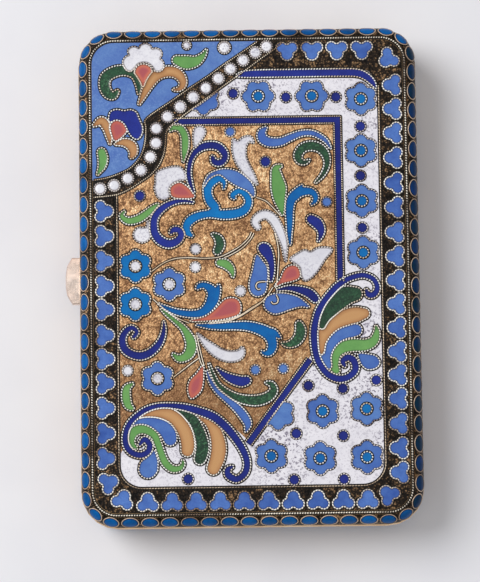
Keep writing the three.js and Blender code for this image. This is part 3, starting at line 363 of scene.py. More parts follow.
class Piece:
    """Collects vertices, faces and a colour attribute, then makes one object."""

    def __init__(self, name, body, material, slot, stands_for=()):
        self.name, self.body, self.material, self.slot = name, body, material, slot
        self.stands_for = stands_for
        self.verts, self.faces, self.data, self.count = [], [], [], 0

    def add(self, verts, faces, data, flip=False):
        faces = np.asarray(faces, int)
        if flip:
            faces = faces[:, ::-1]
        self.verts.append(np.asarray(verts, float))
        self.faces.append(faces + self.count)
        self.data.append(np.asarray(data, float))
        self.count += len(verts)

    def make(self):
        verts = np.vstack(self.verts) * MM
        faces = [row for block in self.faces for row in block.tolist()]
        mesh = bpy.data.meshes.new(self.name)
        mesh.from_pydata(verts.tolist(), [], faces)
        colour = mesh.color_attributes.new("cell", "FLOAT_COLOR", "POINT")
        rgba = np.ones((len(verts), 4), np.float32)
        data = np.vstack(self.data)
        rgba[:, : data.shape[1]] = data
        colour.data.foreach_set("color", rgba.ravel())
        mesh.polygons.foreach_set("use_smooth", [True] * len(mesh.polygons))
        mesh.materials.append(self.material)
        mesh.update()
        obj = placed(self.name, mesh)
        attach(obj, self.body)
        if self.stands_for:
            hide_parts(*self.stands_for)


def ladder(count, closed=True):
    """Quads between two rows of points, listed one row after the other."""
    i = np.arange(count if closed else count - 1)
    j = (i + 1) % count
    return np.column_stack([i, i + count, j + count, j])


def add_wire(piece, ground, path, closed, lift, radius, pitch=0.62, twist=0.5):
    """A twisted and flattened wire laid along a plan path, which shows as a row of slanting beads."""
    uv = resample(path, pitch / BEAD_STEPS, closed)
    p = ground.place(uv, lift)
    up = unit(ground.place(uv, lift + 0.2) - p)
    side = unit(np.cross(up, tangents(p, closed)))
    n = len(p)
    rows = n if closed else n - 1
    turn = math.pi * max(round(n / BEAD_STEPS), 2) * np.arange(n) / rows
    phi = np.linspace(0, 2 * math.pi, WIRE_SIDES, endpoint=False)
    groove = np.sin(turn[:, None] + WIRE_SLANT * (phi - math.pi / 2)[None]) ** 2
    r = radius * (1 - twist * groove)
    v = p[:, None] + (r * np.cos(phi))[..., None] * side[:, None] + (r * np.sin(phi))[..., None] * up[:, None]
    i, k = np.meshgrid(np.arange(rows), np.arange(WIRE_SIDES), indexing="ij")
    here, after = i * WIRE_SIDES, (i + 1) % n * WIRE_SIDES
    m = (k + 1) % WIRE_SIDES
    faces = np.stack([here + k, here + m, after + m, after + k], -1).reshape(-1, 4)
    data = np.column_stack([groove.ravel() * min(1, 2 * twist), np.repeat(np.arange(n) / n, WIRE_SIDES)])
    piece.add(v.reshape(-1, 3), faces, data)


def add_ribbon(piece, ground, path, closed, half, h):
    """The oxidised metal and painted shade that show as a dark line along both sides of a wire."""
    uv = resample(path, RIBBON_STEP, closed)
    n = normals(uv, closed)
    v = np.vstack([ground.place(uv + n * half, h), ground.place(uv - n * half, h)])
    piece.add(v, ladder(len(uv), closed), np.zeros((len(v), 3)), ground.flipped)


def add_skirt(piece, ground, loop, top, drop, data):
    """The upright edge under an outline."""
    ring = np.vstack([ground.place(loop, top), ground.place(loop, top - drop)])
    piece.add(ring, ladder(len(loop)), np.tile(data, (len(ring), 1)), ground.flipped)


def staggered(low, high, spacing):
    """A triangular grid of points over a box."""
    xs, ys = np.arange(low[0], high[0], spacing), np.arange(low[1], high[1], spacing * 0.87)
    gx, gy = np.meshgrid(xs, ys)
    gx = gx + (np.arange(len(ys)) % 2 * spacing / 2)[:, None]
    return np.column_stack([gx.ravel(), gy.ravel()])


def add_cell(piece, ground, outline, edge=0.07, dish=0.05, dome=0.0, spacing=0.5, skirt=0.12):
    """A pool of enamel inside an outline: high where it climbs the wire and lower inside, or a dome."""
    loop = leftward(resample(outline, LOOP_STEP, True))
    ring = loop + normals(loop, True) * RING_IN
    free = np.vstack([ring, staggered(loop.min(0), loop.max(0), spacing)])
    free = free[inside(free, loop)]
    far = from_edge(free, loop)
    in_ring = np.arange(len(free)) < len(ring)
    v, f = filled([loop], free[(far > RING_CLEAR) & (in_ring | (far > GRID_CLEAR))])
    dist = from_edge(v, loop)
    depth = np.clip(dist / MENISCUS, 0, 1)
    h = edge - dish * np.sqrt(depth)
    if dome:
        reach = max(float(dist.max()), 1e-6)
        h = edge + dome * np.sqrt(1 - (1 - np.clip(dist / reach, 0, 1)) ** 2)
    tone = RANDOM.random()
    data = np.column_stack([depth, np.full(len(v), tone), np.clip(dist / DEEP, 0, 1)])
    piece.add(ground.place(v, h), f, data, ground.flipped)
    add_skirt(piece, ground, loop, edge, skirt, [0.0, tone, 0.0])


def add_plate(piece, ground, outline, h):
    """A flat ground with its upright edge."""
    loop = leftward(outline)
    v, f = filled([loop])
    even = [1.0, 0.5, 1.0]
    piece.add(ground.place(v, h), f, np.tile(even, (len(v), 1)), ground.flipped)
    add_skirt(piece, ground, loop, h, GROUND_EDGE, even)


# Materials. Colours are 0 to 255, as the eye sees them.


def linear(rgb):
    return [((c / 255 + 0.055) / 1.055) ** 2.4 if c > 10.3 else c / 255 / 12.92 for c in rgb] + [1.0]


class Nodes:
    """A material and short ways to add to its node tree."""

    def __init__(self, name):
        self.material = bpy.data.materials.new(name)
        self.material.use_nodes = True
        self.tree = self.material.node_tree
        self.shader = self.tree.nodes["Principled BSDF"]

    def new(self, kind, inputs=(), **settings):
        node = self.tree.nodes.new(kind)
        for key, value in settings.items():
            setattr(node, key, value)
        for key, value in dict(inputs).items():
            self.put(node, key, value)
        return node

    def put(self, node, key, value):
        socket = node.inputs[key]
        if isinstance(value, bpy.types.NodeSocket):
            self.tree.links.new(value, socket)
        else:
            socket.default_value = value

    def place(self):
        return self.new("ShaderNodeTexCoord").outputs["Object"]

    def noise(self, scale, detail, rough=0.6):
        inputs = {"Vector": self.place(), "Scale": scale, "Detail": detail, "Roughness": rough}
        return self.new("ShaderNodeTexNoise", inputs).outputs["Fac"]

    def grains(self, scale):
        return self.new("ShaderNodeTexVoronoi", {"Vector": self.place(), "Scale": scale}).outputs["Distance"]

    def ramp(self, factor, stops):
        node = self.new("ShaderNodeValToRGB", {"Fac": factor})
        elements = node.color_ramp.elements
        while len(elements) < len(stops):
            elements.new(0.5)
        for element, (at, rgb) in zip(elements, stops):
            element.position = at
            element.color = linear(rgb)
        return node.outputs["Color"]

    def span(self, value, low, high, to_low=0.0, to_high=1.0):
        """The value's place between two bounds, clamped."""
        inputs = {"Value": value, "From Min": low, "From Max": high, "To Min": to_low, "To Max": to_high}
        return self.new("ShaderNodeMapRange", inputs).outputs["Result"]

    def math(self, operation, a, b):
        return self.new("ShaderNodeMath", {0: a, 1: b}, operation=operation).outputs[0]

    def times(self, a, b):
        return self.math("MULTIPLY", a, b)

    def total(self, *terms):
        """The sum of (value, weight) terms."""
        parts = [self.times(value, weight) for value, weight in terms]
        result = parts.pop()
        while parts:
            result = self.math("ADD", parts.pop(), result)
        return result

    def mix(self, factor, a, b):
        """From one colour or socket to another; plain colours are given as 0 to 255."""
        a, b = (linear(c) if isinstance(c, tuple) else c for c in (a, b))
        return self.new("ShaderNodeMix", {0: factor, 6: a, 7: b}, data_type="RGBA").outputs[2]

    def bump(self, height, strength, distance):
        inputs = {"Height": height, "Strength": strength, "Distance": distance * MM}
        return self.new("ShaderNodeBump", inputs).outputs["Normal"]

    def cell(self):
        """The mesh's own values: distance from the wire, a tone per cell, and a wider distance."""
        node = self.new("ShaderNodeAttribute", attribute_name="cell")
        return self.new("ShaderNodeSeparateColor", {"Color": node.outputs["Color"]}).outputs

    def done(self, **values):
        for key, value in values.items():
            self.put(self.shader, key.replace("_", " "), value)
        return self.material


def enamel(name, light, dark, edge, grain=0.35, speck=None, spots=0.55, middle=None, cloudy=420,
           rough=0.16, coat=0.35, ior=1.52):
    """Fused glass: paler in the middle of a cell, darker at the wire, with fine grain and a few specks. The
    dark edge at the wire is partly oxide and partly painted shade.
    """
    n = Nodes(name)
    depth, tone, wide = n.cell()
    fine = n.noise(2600, 2)
    amount = n.total((n.noise(cloudy, 4), 0.75), (tone, 0.35))
    colour = n.mix(n.span(amount, 0.3, 0.85), dark, light)
    colour = n.mix(n.span(fine, 0.35, 0.75, 0.0, grain), colour, dark)
    if middle:
        colour = n.mix(n.span(wide, 0.12, 0.5), colour, middle)
    if speck:
        patches = n.span(n.noise(70, 1), 0.42, 0.58, 0.3, 1.0)
        where = n.times(n.span(n.noise(2000, 2, 0.7), 0.53, 0.6), patches)
        colour = n.mix(n.times(where, spots), colour, speck)
    # the edge colour next to the wire: oxide and painted shade
    colour = n.mix(n.span(depth, 0.0, 0.55), edge, colour)
    normal = n.bump(n.total((n.noise(900, 3), 1.0), (fine, 0.4)), 0.35, 0.06)
    n.done(Base_Color=colour, Roughness=rough, IOR=ior, Normal=normal)
    return n.done(Coat_Weight=coat, Coat_Roughness=0.08)


def ground_metal(name, low, mid, high, scale, rough=0.42, metallic=0.85, painted_shade_y=None):
    """Gilt punched all over with small dots, dark in the hollows, and with painted shade that darkens it
    between two values of Y.
    """
    n = Nodes(name)
    dots = n.grains(scale)
    cloud = n.noise(950, 3, 0.65)
    patch = n.total((n.noise(210, 2), 1.0), (n.noise(34, 1), 0.6))
    amount = n.total((cloud, 0.9), (patch, 0.5), (dots, -0.45))
    colour = n.ramp(n.span(amount, 0.42, 0.98), [(0.0, low), (0.5, mid), (1.0, high)])
    if painted_shade_y:
        # painted shade: the gilt is drawn darker between two values of Y
        along = n.new("ShaderNodeSeparateXYZ", {"Vector": n.place()}).outputs["Y"]
        colour = n.mix(n.times(n.span(along, painted_shade_y[0] * MM, painted_shade_y[1] * MM), 0.6), colour, low)
    normal = n.bump(n.total((cloud, 0.8), (dots, -0.6)), 0.8, 0.12)
    return n.done(Base_Color=colour, Metallic=metallic, Roughness=rough, Normal=normal)


def wire_metal(name, crest, flank, groove, metallic=0.4):
    """Drawn gilt wire, dark in the grooves of its twist and paler in patches. The dark grooves are partly
    oxide and partly painted shade, which fades in and out along the wire.
    """
    n = Nodes(name)
    bright = n.mix(n.span(n.noise(110, 3), 0.36, 0.56), flank, crest)
    # painted shade: the groove darkening fades in and out in patches along the wire
    beaded = n.span(n.noise(160, 2), 0.36, 0.52, 0.6, 1.0)
    colour = n.mix(n.times(n.span(n.cell()[0], 0.35, 0.7), beaded), bright, groove)
    normal = n.bump(n.noise(3000, 2), 0.15, 0.03)
    return n.done(Base_Color=colour, Metallic=metallic, Roughness=0.3, Normal=normal)


def plain_metal(name, light, dark, rough):
    """Polished or satin gilt with fine hair scratches and faint tarnish."""
    n = Nodes(name)
    stretch = n.new("ShaderNodeMapping", {"Vector": n.place(), "Scale": (9000, 400, 4000)}).outputs[0]
    hair = n.new("ShaderNodeTexNoise", {"Vector": stretch, "Scale": 1.0, "Detail": 2.0}).outputs["Fac"]
    colour = n.mix(n.span(n.noise(120, 4), 0.35, 0.7), light, dark)
    roughness = n.span(n.noise(500, 3), 0.3, 0.7, rough * 0.75, rough * 1.35)
    return n.done(Base_Color=colour, Metallic=1.0, Roughness=roughness, Normal=n.bump(hair, 0.3, 0.02))


# each enamel's third colour is its edge at the wire: oxide and painted shade
ENAMELS = {
    "cerulean": enamel("cerulean_enamel", (0, 124, 194), (0, 90, 160), (4, 28, 70), coat=0.15, ior=1.4),
    "periwinkle": enamel("periwinkle_enamel", (94, 136, 199), (60, 98, 176), (26, 38, 92)),
    "border": enamel("border_blue_enamel", (90, 132, 206), (42, 80, 160), (20, 32, 84)),
    "royal": enamel("royal_blue_enamel", (36, 52, 150), (18, 28, 106), (12, 12, 50), coat=0.2, ior=1.4),
    "dark_green": enamel(
        "dark_green_enamel", (40, 92, 58), (4, 22, 18), (6, 14, 12), 0.5, (88, 146, 100), 0.5, cloudy=900
    ),
    "light_green": enamel("light_green_enamel", (120, 176, 96), (92, 148, 76), (28, 56, 24)),
    "ochre": enamel("ochre_enamel", (190, 136, 88), (164, 112, 66), (92, 56, 28), middle=(200, 150, 98)),
    "coral": enamel(
        "coral_enamel", (216, 122, 88), (194, 96, 80), (96, 34, 34), middle=(176, 84, 88), cloudy=260
    ),
    "white": enamel(
        "white_enamel", (246, 244, 247), (216, 214, 222), (92, 82, 90), 0.3, (138, 130, 156), 0.4
    ),
    "oval": enamel(
        "oval_blue_enamel", (4, 106, 184), (0, 68, 124), (4, 14, 40), 0.5, rough=0.4, coat=0.0, ior=1.22
    ),
    # a darker copy of the oval enamel: painted shade for the ovals on the right side
    "painted_shade_oval": enamel(
        "painted_shade_oval_enamel", (12, 54, 118), (0, 40, 60), (2, 8, 24), 0.5, rough=0.4, coat=0.0, ior=1.22
    ),
    "pearl": enamel(
        "pearl_enamel", (248, 247, 250), (224, 223, 230), (150, 138, 142), 0.4, (140, 136, 160), 0.7,
        rough=0.35, coat=0.1,
    ),
}
# The record's material slot of each colour's cells.
SLOTS = {colour: "oval_blue_enamel" for colour in ("cerulean", "dark_green", "oval", "painted_shade_oval")}
SLOTS.update({colour: "sky_blue_enamel" for colour in ("periwinkle", "border", "light_green")})
SLOTS.update({colour: "royal_blue_enamel" for colour in ("royal", "coral")})
SLOTS.update({colour: "white_enamel" for colour in ("ochre", "white", "pearl")})
WHITE_GROUND = enamel(
    "white_ground", (252, 248, 251), (224, 220, 228), (120, 110, 116), 0.4, (104, 94, 116), 0.85
)
SKY_GROUND = enamel("sky_ground", (106, 146, 202), (70, 104, 178), (40, 60, 120), 0.5, (132, 164, 218), 0.35)
# painted shade darkens the gold field between Y of -14 and -26 mm
GOLD_GROUND = ground_metal(
    "gold_ground", (118, 80, 50), (206, 158, 110), (255, 228, 180), 2600, metallic=0.6, painted_shade_y=(-14, -26)
)
DARK_GROUND = ground_metal("dark_ground", (14, 11, 10), (46, 36, 28), (176, 138, 98), 2200, 0.5, 0.8)
# the dark lines beside the wires: oxide and painted shade
TARNISH_AND_SHADE = ground_metal("tarnish_and_shade_metal", (10, 8, 8), (24, 17, 14), (60, 42, 30), 2200, 0.55, 0.6)
# each wire's last colour is its groove: oxide and painted shade
WIRE = wire_metal("twisted_wire", (255, 253, 246), (222, 200, 174), (12, 8, 8), 0.15)
DARK_WIRE = wire_metal("worn_wire", (252, 234, 206), (172, 142, 112), (14, 9, 8))
PANEL_WIRE = wire_metal("panel_wire", (232, 208, 178), (120, 96, 76), (20, 14, 12))
ROPE_WIRE = wire_metal("rope_wire", (255, 244, 224), (120, 98, 78), (8, 6, 6))
OVAL_WIRE = wire_metal("oval_wire", (206, 180, 156), (136, 112, 92), (60, 48, 40), 0.2)
TREFOIL_WIRE = wire_metal("trefoil_wire", (252, 246, 234), (140, 114, 90), (14, 9, 9), 0.2)
FLOWER_WIRE = wire_metal("flower_wire", (240, 230, 222), (134, 116, 110), (20, 16, 28), 0.2)
SMOOTH_WIRE = wire_metal("gilt_wire", (255, 240, 218), (216, 186, 150), (110, 84, 62), 0.2)
# Wires by group; the groups not named here have WIRE.
WIRES = {"flower": FLOWER_WIRE, "pearl": FLOWER_WIRE, "band": DARK_WIRE, "stem": SMOOTH_WIRE}
WIRES["trefoil"] = TREFOIL_WIRE
GILT = plain_metal("polished_gilt", (226, 196, 158), (204, 168, 126), 0.22)
SATIN = plain_metal("satin_gilt", (222, 186, 138), (206, 168, 118), 0.36)
ROSE = plain_metal("rose_gilt", (252, 232, 218), (232, 202, 184), 0.28)
STEEL = plain_metal("spring_steel", (200, 204, 208), (170, 174, 180), 0.3)

# The ornament in plan. A cell is its colour and then its shapes, joined into one outline: a spine holds
# (x, y, width) points, a loop holds (x, y) points.
LID_CELLS = [
    # corner panel
    ("white", [(-27.1, 46.7), (-27.3, 47.6), (-26.7, 48.6), (-25.9, 49), (-26.2, 49.9), (-25.5, 50.7),
        (-24.5, 50.8), (-23.8, 50.4), (-23.3, 51.2), (-22.3, 51.5), (-21.3, 51.1), (-20.9, 50.3),
        (-19.9, 50.4), (-18.9, 49.8), (-18.8, 48.8), (-19.2, 48.2), (-18.5, 47.4), (-18.4, 46.2),
        (-19.1, 45.4), (-20.2, 45.4), (-20.8, 46.4), (-21.8, 47.2), (-23, 47.4), (-24.1, 47), (-24.9, 46.1),
        (-25.7, 45.4), (-26.6, 45.8)]),
    ("coral", [(-24.7, 45.1), (-24.3, 46.2), (-23.4, 46.8), (-22.3, 46.8), (-21.3, 46.2), (-21, 45.3),
        (-21.6, 44.4), (-22.3, 43.3), (-22.9, 41.9), (-23.4, 42.9), (-24.1, 44.1)]),
    ("dark_green", [(-23.9, 40.2, 0.4), (-23.9, 42.3, 1.2), (-24.7, 44.5, 1.7), (-26.6, 45.5, 2),
        (-28.9, 45.4, 2.2), (-31, 44.2, 2.3), (-31.4, 42.2, 2.2), (-30.7, 40.5, 2), (-29.5, 40, 1.6),
        (-28.6, 40.9, 0.8)]),
    ("ochre", [(-23.9, 37.9, 0.4), (-22.9, 39.9, 1.2), (-21.7, 42.2, 1.9), (-20.1, 44.2, 2.2),
        (-18.2, 45.1, 2.3), (-16.2, 45.1, 2.3), (-14.7, 44.1, 2), (-14.1, 42.5, 1.5), (-14.9, 41.3, 1),
        (-16.4, 41.1, 0.3)]),
    ("light_green", [(-15.4, 47.7, 2), (-13.4, 47.2, 2.9), (-11.3, 47.4, 2.2), (-9.7, 48.6, 1.2),
        (-8.8, 50.1, 0.2)]),
    ("royal", [(-30.2, 36.2), (-28.8, 36.8), (-27.2, 36.5), (-25.7, 36.7), (-24.5, 36.1), (-24, 34.9),
        (-23.2, 32.8), (-23.4, 31.2), (-24.4, 30.2), (-25.8, 31.2), (-27.2, 33.8), (-28.8, 34.6),
        (-30.4, 34.2)]),
    ("coral", [(-29.1, 29.9), (-30, 31.6), (-30.2, 33.3), (-29.2, 34.4), (-27.8, 34.3), (-26.5, 33.2),
        (-26.9, 31.6)]),
    ("ochre", [(-33.8, 33.4, 0.6), (-32.2, 34.3, 1.9), (-31, 32.9, 1.8), (-30.5, 31.1, 1.4),
        (-30.3, 29.1, 0.3)]),
    ("ochre", [(-29.3, 29.1, 0.3), (-27.3, 29.5, 1.6), (-25.7, 28.8, 2.1), (-25.2, 27.4, 1.8),
        (-25.6, 26.4, 1)]),
    ("light_green", [(-32.2, 27.4, 1.8), (-31.9, 26, 2), (-32.1, 24.4, 1.6), (-32.8, 23, 0.7),
        (-33.2, 22.3, 0.2)]),
    # gold field, upper
    ("light_green", [(-17.2, 31.9, 0.3), (-16.1, 32.7, 1.2), (-14.8, 32.4, 1.5), (-13.9, 30.8, 1.6),
        (-13.8, 28.8, 1.6), (-14, 27, 1.2), (-14.3, 24.9, 0.2)]),
    ("white", [(-10.6, 31.6, 2.6), (-11.1, 30.1, 1.9), (-11.7, 28.2, 0.3)]),
    ("royal", [(-12, 18.1, 0.3), (-12.8, 20.4, 0.9), (-13.1, 22.6, 1), (-12.7, 25.1, 1), (-11.7, 27, 1.2),
        (-10.2, 28.2, 1.5), (-8.4, 28.6, 1.6), (-6.6, 28.3, 1.6), (-5.3, 27, 1.5), (-5.1, 25.7, 1.3),
        (-6.1, 24.7, 1.4), (-7.4, 24.9, 1.3), (-7.8, 25.9, 0.9)]),
    ("white", [(-20.1, 22.7), (-17.5, 23.8), (-15.2, 23.9), (-14.1, 22.8), (-13.9, 21.2), (-15.4, 20.9),
        (-16.8, 20.2), (-17.6, 18.9), (-17.4, 17.6), (-18.4, 16.7), (-19.9, 17.2), (-20.6, 19.1),
        (-20.4, 20.5)]),
    ("coral", [(-11.9, 17.2), (-13, 19), (-15, 20.4), (-16.8, 19.7), (-17.2, 18.7), (-16.7, 17.3),
        (-14.4, 16.9)]),
    ("light_green", [(-27.2, 14.3, 0.4), (-27.9, 13.2, 1), (-26.5, 12.1, 1.4), (-24.3, 12.5, 1.6),
        (-22.5, 13.6, 1.5), (-21, 14.9, 1.1), (-19.8, 15.8, 0.3)]),
    ("royal", [(-12.1, 16, 0.4), (-14.5, 16.4, 0.8), (-17, 15.9, 1.1), (-19.2, 14.6, 1.4), (-20.6, 12.8, 1.5),
        (-20.9, 10.9, 1.6), (-20.6, 9.1, 1.7), (-19.4, 7.6, 1.8), (-17.6, 6.9, 1.8), (-15.8, 7.5, 1.6),
        (-14.9, 8.8, 1.4), (-15.4, 9.9, 1.3), (-16.5, 10, 1.3), (-17.1, 9.4, 0.8)]),
    ("white", [(-22.3, 12.2), (-22.6, 10.6), (-24.4, 10.5), (-25.3, 9.2), (-24.8, 7.8), (-23.3, 7.3),
        (-21.9, 8.1), (-21.6, 10.2)]),
    # centre: the two cerulean branches over a periwinkle dome
    ("periwinkle", [(-9.9, 19.4), (-9, 21.8), (-7.2, 22.9), (-5, 23.3), (-2.8, 22.9), (-1, 21.8), (0.5, 20.3),
        (1.3, 18.6), (1.1, 17), (-0.3, 18.4), (-2.2, 19.3), (-4.2, 20.5), (-6.4, 22.1), (-8.6, 21.2)]),
    ("cerulean", [(-5.5, 18.8, 0.4), (-5.4, 20.3, 1), (-6.6, 21.2, 1.6), (-8.6, 20, 2), (-9, 18.1, 1.8),
        (-8.5, 16.3, 2), (-7.4, 14.6, 2), (-8.6, 13.4, 1.6)], [(-2.9, 16.7, 0.5), (-3.6, 17.4, 1.2),
        (-1.9, 18.4, 1.3), (-0.3, 17, 1.5), (-0.1, 15.5, 1.6), (-1.1, 14.1, 1.9), (-2.9, 13.4, 2),
        (-5.5, 13.2, 2), (-8.6, 13.4, 1.6), (-11, 13, 1.7), (-12.8, 12.1, 1.9), (-13.7, 10.8, 1.7),
        (-13.5, 9.4, 1.5), (-12.7, 8.7, 0.9)]),
    ("white", [(-2, 28, 3.1), (-1.7, 25.6, 2.6), (-0.6, 23.4, 2.2), (0.7, 21.5, 1.5), (1.9, 19.7, 0.3)],
        [(-3.3, 29.9, 0.4), (-2.6, 28.6, 1.6), (-2, 27.4, 2)], [(1.2, 29, 0.3), (0.4, 29.9, 1.2),
        (-0.9, 29.3, 1.8), (-1.6, 27.8, 2)]),
    ("periwinkle", [(4, 32.3, 0.6), (3.1, 31.3, 1.7), (3.3, 29.9, 2), (4.9, 29.1, 2), (7.2, 29.2, 1.7),
        (9.6, 30.2, 1.4), (12, 31, 1.2), (14.5, 30.9, 1.1), (17, 29.4, 0.9), (18.2, 27.5, 0.3)]),
    ("dark_green", [(14.6, 19.9, 0.3), (16.3, 21.7, 0.8), (17.3, 23.9, 1.1), (17.1, 26, 1.5),
        (15.9, 27.6, 1.8), (14, 28.2, 1.9), (12, 27.7, 1.8), (11, 26.2, 1.7), (11.3, 24.9, 1.3),
        (12.5, 24.5, 0.8), (13.5, 25.1, 0.3)]),
    ("light_green", [(7.4, 23.9, 0.4), (6.1, 23.2, 1.6), (6.2, 21.3, 2.4), (6.6, 19, 3.2), (6.7, 16.8, 2.6),
        (7.1, 14.5, 1.4), (7.4, 12.8, 0.2)]),
    ("cerulean", [(8.9, 6.3, 0.4), (8.8, 8.7, 1), (8.9, 11.1, 1.4), (8.9, 13.9, 1.7), (9.3, 16.2, 2),
        (10.5, 17.6, 2.2), (11, 18.6, 1.2), (11.9, 19.5, 0.4)], [(9.3, 16.2, 1.8), (11, 17.8, 2),
        (13.4, 18.1, 1.6), (14.6, 17.1, 1.3), (14.5, 15.9, 1), (13.6, 15.1, 0.3)]),
    ("royal", [(13.6, 11.9, 2), (14.9, 11, 2.3), (15.7, 9.6, 1.7), (15.6, 8.2, 1), (15, 6.9, 0.2)]),
    ("white", [(1.9, 10.3, 1.2), (1.3, 11.6, 1.6), (2.5, 12.8, 1.8), (3.9, 13, 1.9), (5.3, 12, 2),
        (6.4, 10.1, 1.9), (7.2, 8, 1.7), (7.7, 6, 1.2), (7.8, 4.2, 0.7), (7.9, 2.6, 0.2)]),
    ("dark_green", [(-8.2, 9, 0.3), (-6.9, 8.1, 1.5), (-6.4, 6.6, 1.9), (-7, 5.2, 1.6)]),
    # centre flower
    ("royal", [(1.9, 5.5), (2.2, 6.4), (3.2, 6.8), (4.4, 6.2), (5.1, 4.6), (5.4, 2.4), (5.4, 0.6),
        (5.1, -0.9), (4.7, -1.8), (4.3, -1.4), (4.25, 0.4), (4.1, 2), (3.4, 3.4), (2.5, 4.4)]),
    ("periwinkle", [(1.5, 4.2), (0.6, 0.7), (0, -1.5), (-0.1, -3), (0.4, -4.3), (1.6, -4.9), (3, -4.4),
        (3.6, -3.2), (3.8, -1.4), (3.9, -0.3), (3.7, 1.6), (2.8, 2.9)]),
    ("coral", [(5.4, -2.8), (6.7, -1.1), (7.3, 0.35), (8.2, 1.4), (9.5, 1.8), (10.6, 1.2), (11, -0.3),
        (10.5, -1.2), (9.1, -1.7), (7.3, -2.1)]),
    ("white", [(8.9, 3.2), (10.6, 4.4), (12.1, 5.1), (13.4, 4.7), (15.3, 5.6), (18.1, 5.2), (16.4, 2.9),
        (14.9, 0.6), (13.4, -1), (12, -1.6), (11.3, -0.4), (11, 1.3), (10, 2.2)]),
    ("royal", [(5.8, -3.6, 0.3), (8.4, -3.2, 1), (10.8, -3.6, 1.5), (12.9, -4.4, 1.9), (14.2, -5.6, 1.7)]),
    ("periwinkle", [(3.1, -6.2), (3.8, -5), (5.6, -4.4), (7.8, -4.4), (10, -5), (11.5, -5.9), (12.9, -7.4),
        (11.1, -7.3), (8.9, -7.8), (6.9, -8.5), (5.3, -8.8), (3.9, -8.2), (3.1, -7.2)]),
    ("light_green", [(-6.6, 2.6, 1.5), (-5.3, 2.3, 1.9), (-4.3, 1.4, 1.6), (-3.8, 0.4, 1),
        (-3.7, -0.7, 0.3)]),
    # middle left
    ("royal", [(-25.5, -13.4, 0.9), (-24.8, -12.4, 0.9), (-25.75, -11.45, 1), (-27, -12, 1.3),
        (-28, -13.8, 1.5), (-27.6, -15.9, 1.6), (-26, -17.2, 1.6), (-23.9, -17.6, 1.7), (-21.9, -16.85, 1.6),
        (-20.2, -15.3, 1.4), (-19.25, -13.5, 1.1), (-18.9, -11.7, 0.8), (-18.95, -10, 0.2)]),
    ("light_green", [(-19.6, -7.3, 0.2), (-18.05, -8.7, 0.7), (-16.4, -10.1, 0.9), (-14.75, -11.6, 1.2),
        (-13.6, -13.4, 1.8), (-13, -15.2, 2.2), (-13.3, -16.9, 2.2), (-14.4, -18, 1.8), (-15.8, -18.25, 1.4),
        (-16.9, -17.4, 0.6)]),
    ("cerulean", [(-20.1, -6.2, 0.2), (-18.25, -7.2, 0.8), (-16.4, -8, 1.2), (-14.6, -8.4, 1.4),
        (-12.7, -8.6, 1.5), (-10.9, -8.4, 1.7), (-9.6, -7.6, 2), (-8.5, -6.2, 2.4), (-8, -4.7, 2.6),
        (-8.6, -3.2, 2), (-10, -2.3, 1.3), (-11.1, -2.5, 1.2), (-11.7, -3.2, 0.4)], [(-8.4, -5.6, 2.4),
        (-7.5, -4.2, 2), (-7, -3, 1.1), (-6.8, -2.2, 0.4)]),
    ("coral", [(-5.5, -5.5), (-4.2, -5.2), (-2.9, -5.5), (-2.2, -6.5), (-2.1, -7.8), (-2.6, -8.8),
        (-3.8, -9.3), (-6, -9.8), (-9, -10.1), (-13.2, -10.1), (-9.9, -9.2), (-8, -7.9), (-6.6, -6.5)]),
    ("cerulean", [(-11.9, -11, 0.3), (-9.1, -11.3, 1.1), (-6.3, -11.4, 1.4), (-3.6, -11.3, 1.6),
        (-0.8, -11.4, 1.9), (1.6, -12, 2.2), (3.6, -13, 2.5), (4.5, -14.4, 2.2), (4.7, -15.9, 2),
        (4, -17.2, 1.6), (2.9, -17.4, 0.9), (2.3, -16.9, 0.3)], [(2.6, -12.6, 2), (4.8, -12.9, 1.7),
        (5.9, -13.6, 1), (6.6, -14.2, 0.3)]),
    ("white", [(-11.7, -12.8, 0.2), (-10.2, -14.6, 1.2), (-8.7, -16, 1.9), (-6.9, -17.3, 2.2),
        (-4.8, -18, 2.3), (-2.9, -17.8, 2.1), (-2, -16.9, 1.4), (-2, -16, 0.4)]),
    ("dark_green", [(10.6, -11.2, 1.5), (10.9, -12.4, 2.1), (10.6, -13.9, 2.1), (9.5, -15.1, 1.8),
        (8, -15.6, 1.1), (6.7, -15.2, 0.3)]),
    # gold field, lower
    ("coral", [(-10.5, -19.9), (-11.9, -21.6), (-13.4, -23.2), (-13.8, -25.2), (-13.2, -27), (-11.9, -26.4),
        (-10.9, -25.2), (-10.5, -23.4), (-10.4, -21.6)]),
    ("light_green", [(-25.7, -23.6, 0.4), (-27.1, -24.6, 1.5), (-27.3, -26.5, 1.8), (-26.9, -28.3, 1.6),
        (-26.1, -29, 1)]),
    ("royal", [(-7.6, -20.4, 0.2), (-6, -21.9, 1.2), (-4.2, -22.9, 1.9), (-2.2, -23.5, 2.2),
        (-1, -23.3, 1.8)]),
    ("dark_green", [(-9.2, -19.4, 0.2), (-8.3, -21.9, 0.6), (-7.1, -24.2, 0.8), (-4.6, -26.2, 1.2),
        (-2.2, -27.3, 1.7), (0.8, -27.7, 2.1), (3.3, -27.1, 2), (4.8, -25.7, 1.6), (4.4, -24.2, 1.1),
        (3, -23.8, 0.3)]),
    ("periwinkle", [(-9.7, -20.9, 0.2), (-9, -23.1, 0.7), (-7.5, -25.5, 0.9), (-5.4, -27.4, 1.2),
        (-3.4, -29.1, 1.6), (-1.8, -31, 1.8), (-0.9, -32.8, 1.5), (-1.4, -34.5, 0.3)]),
]

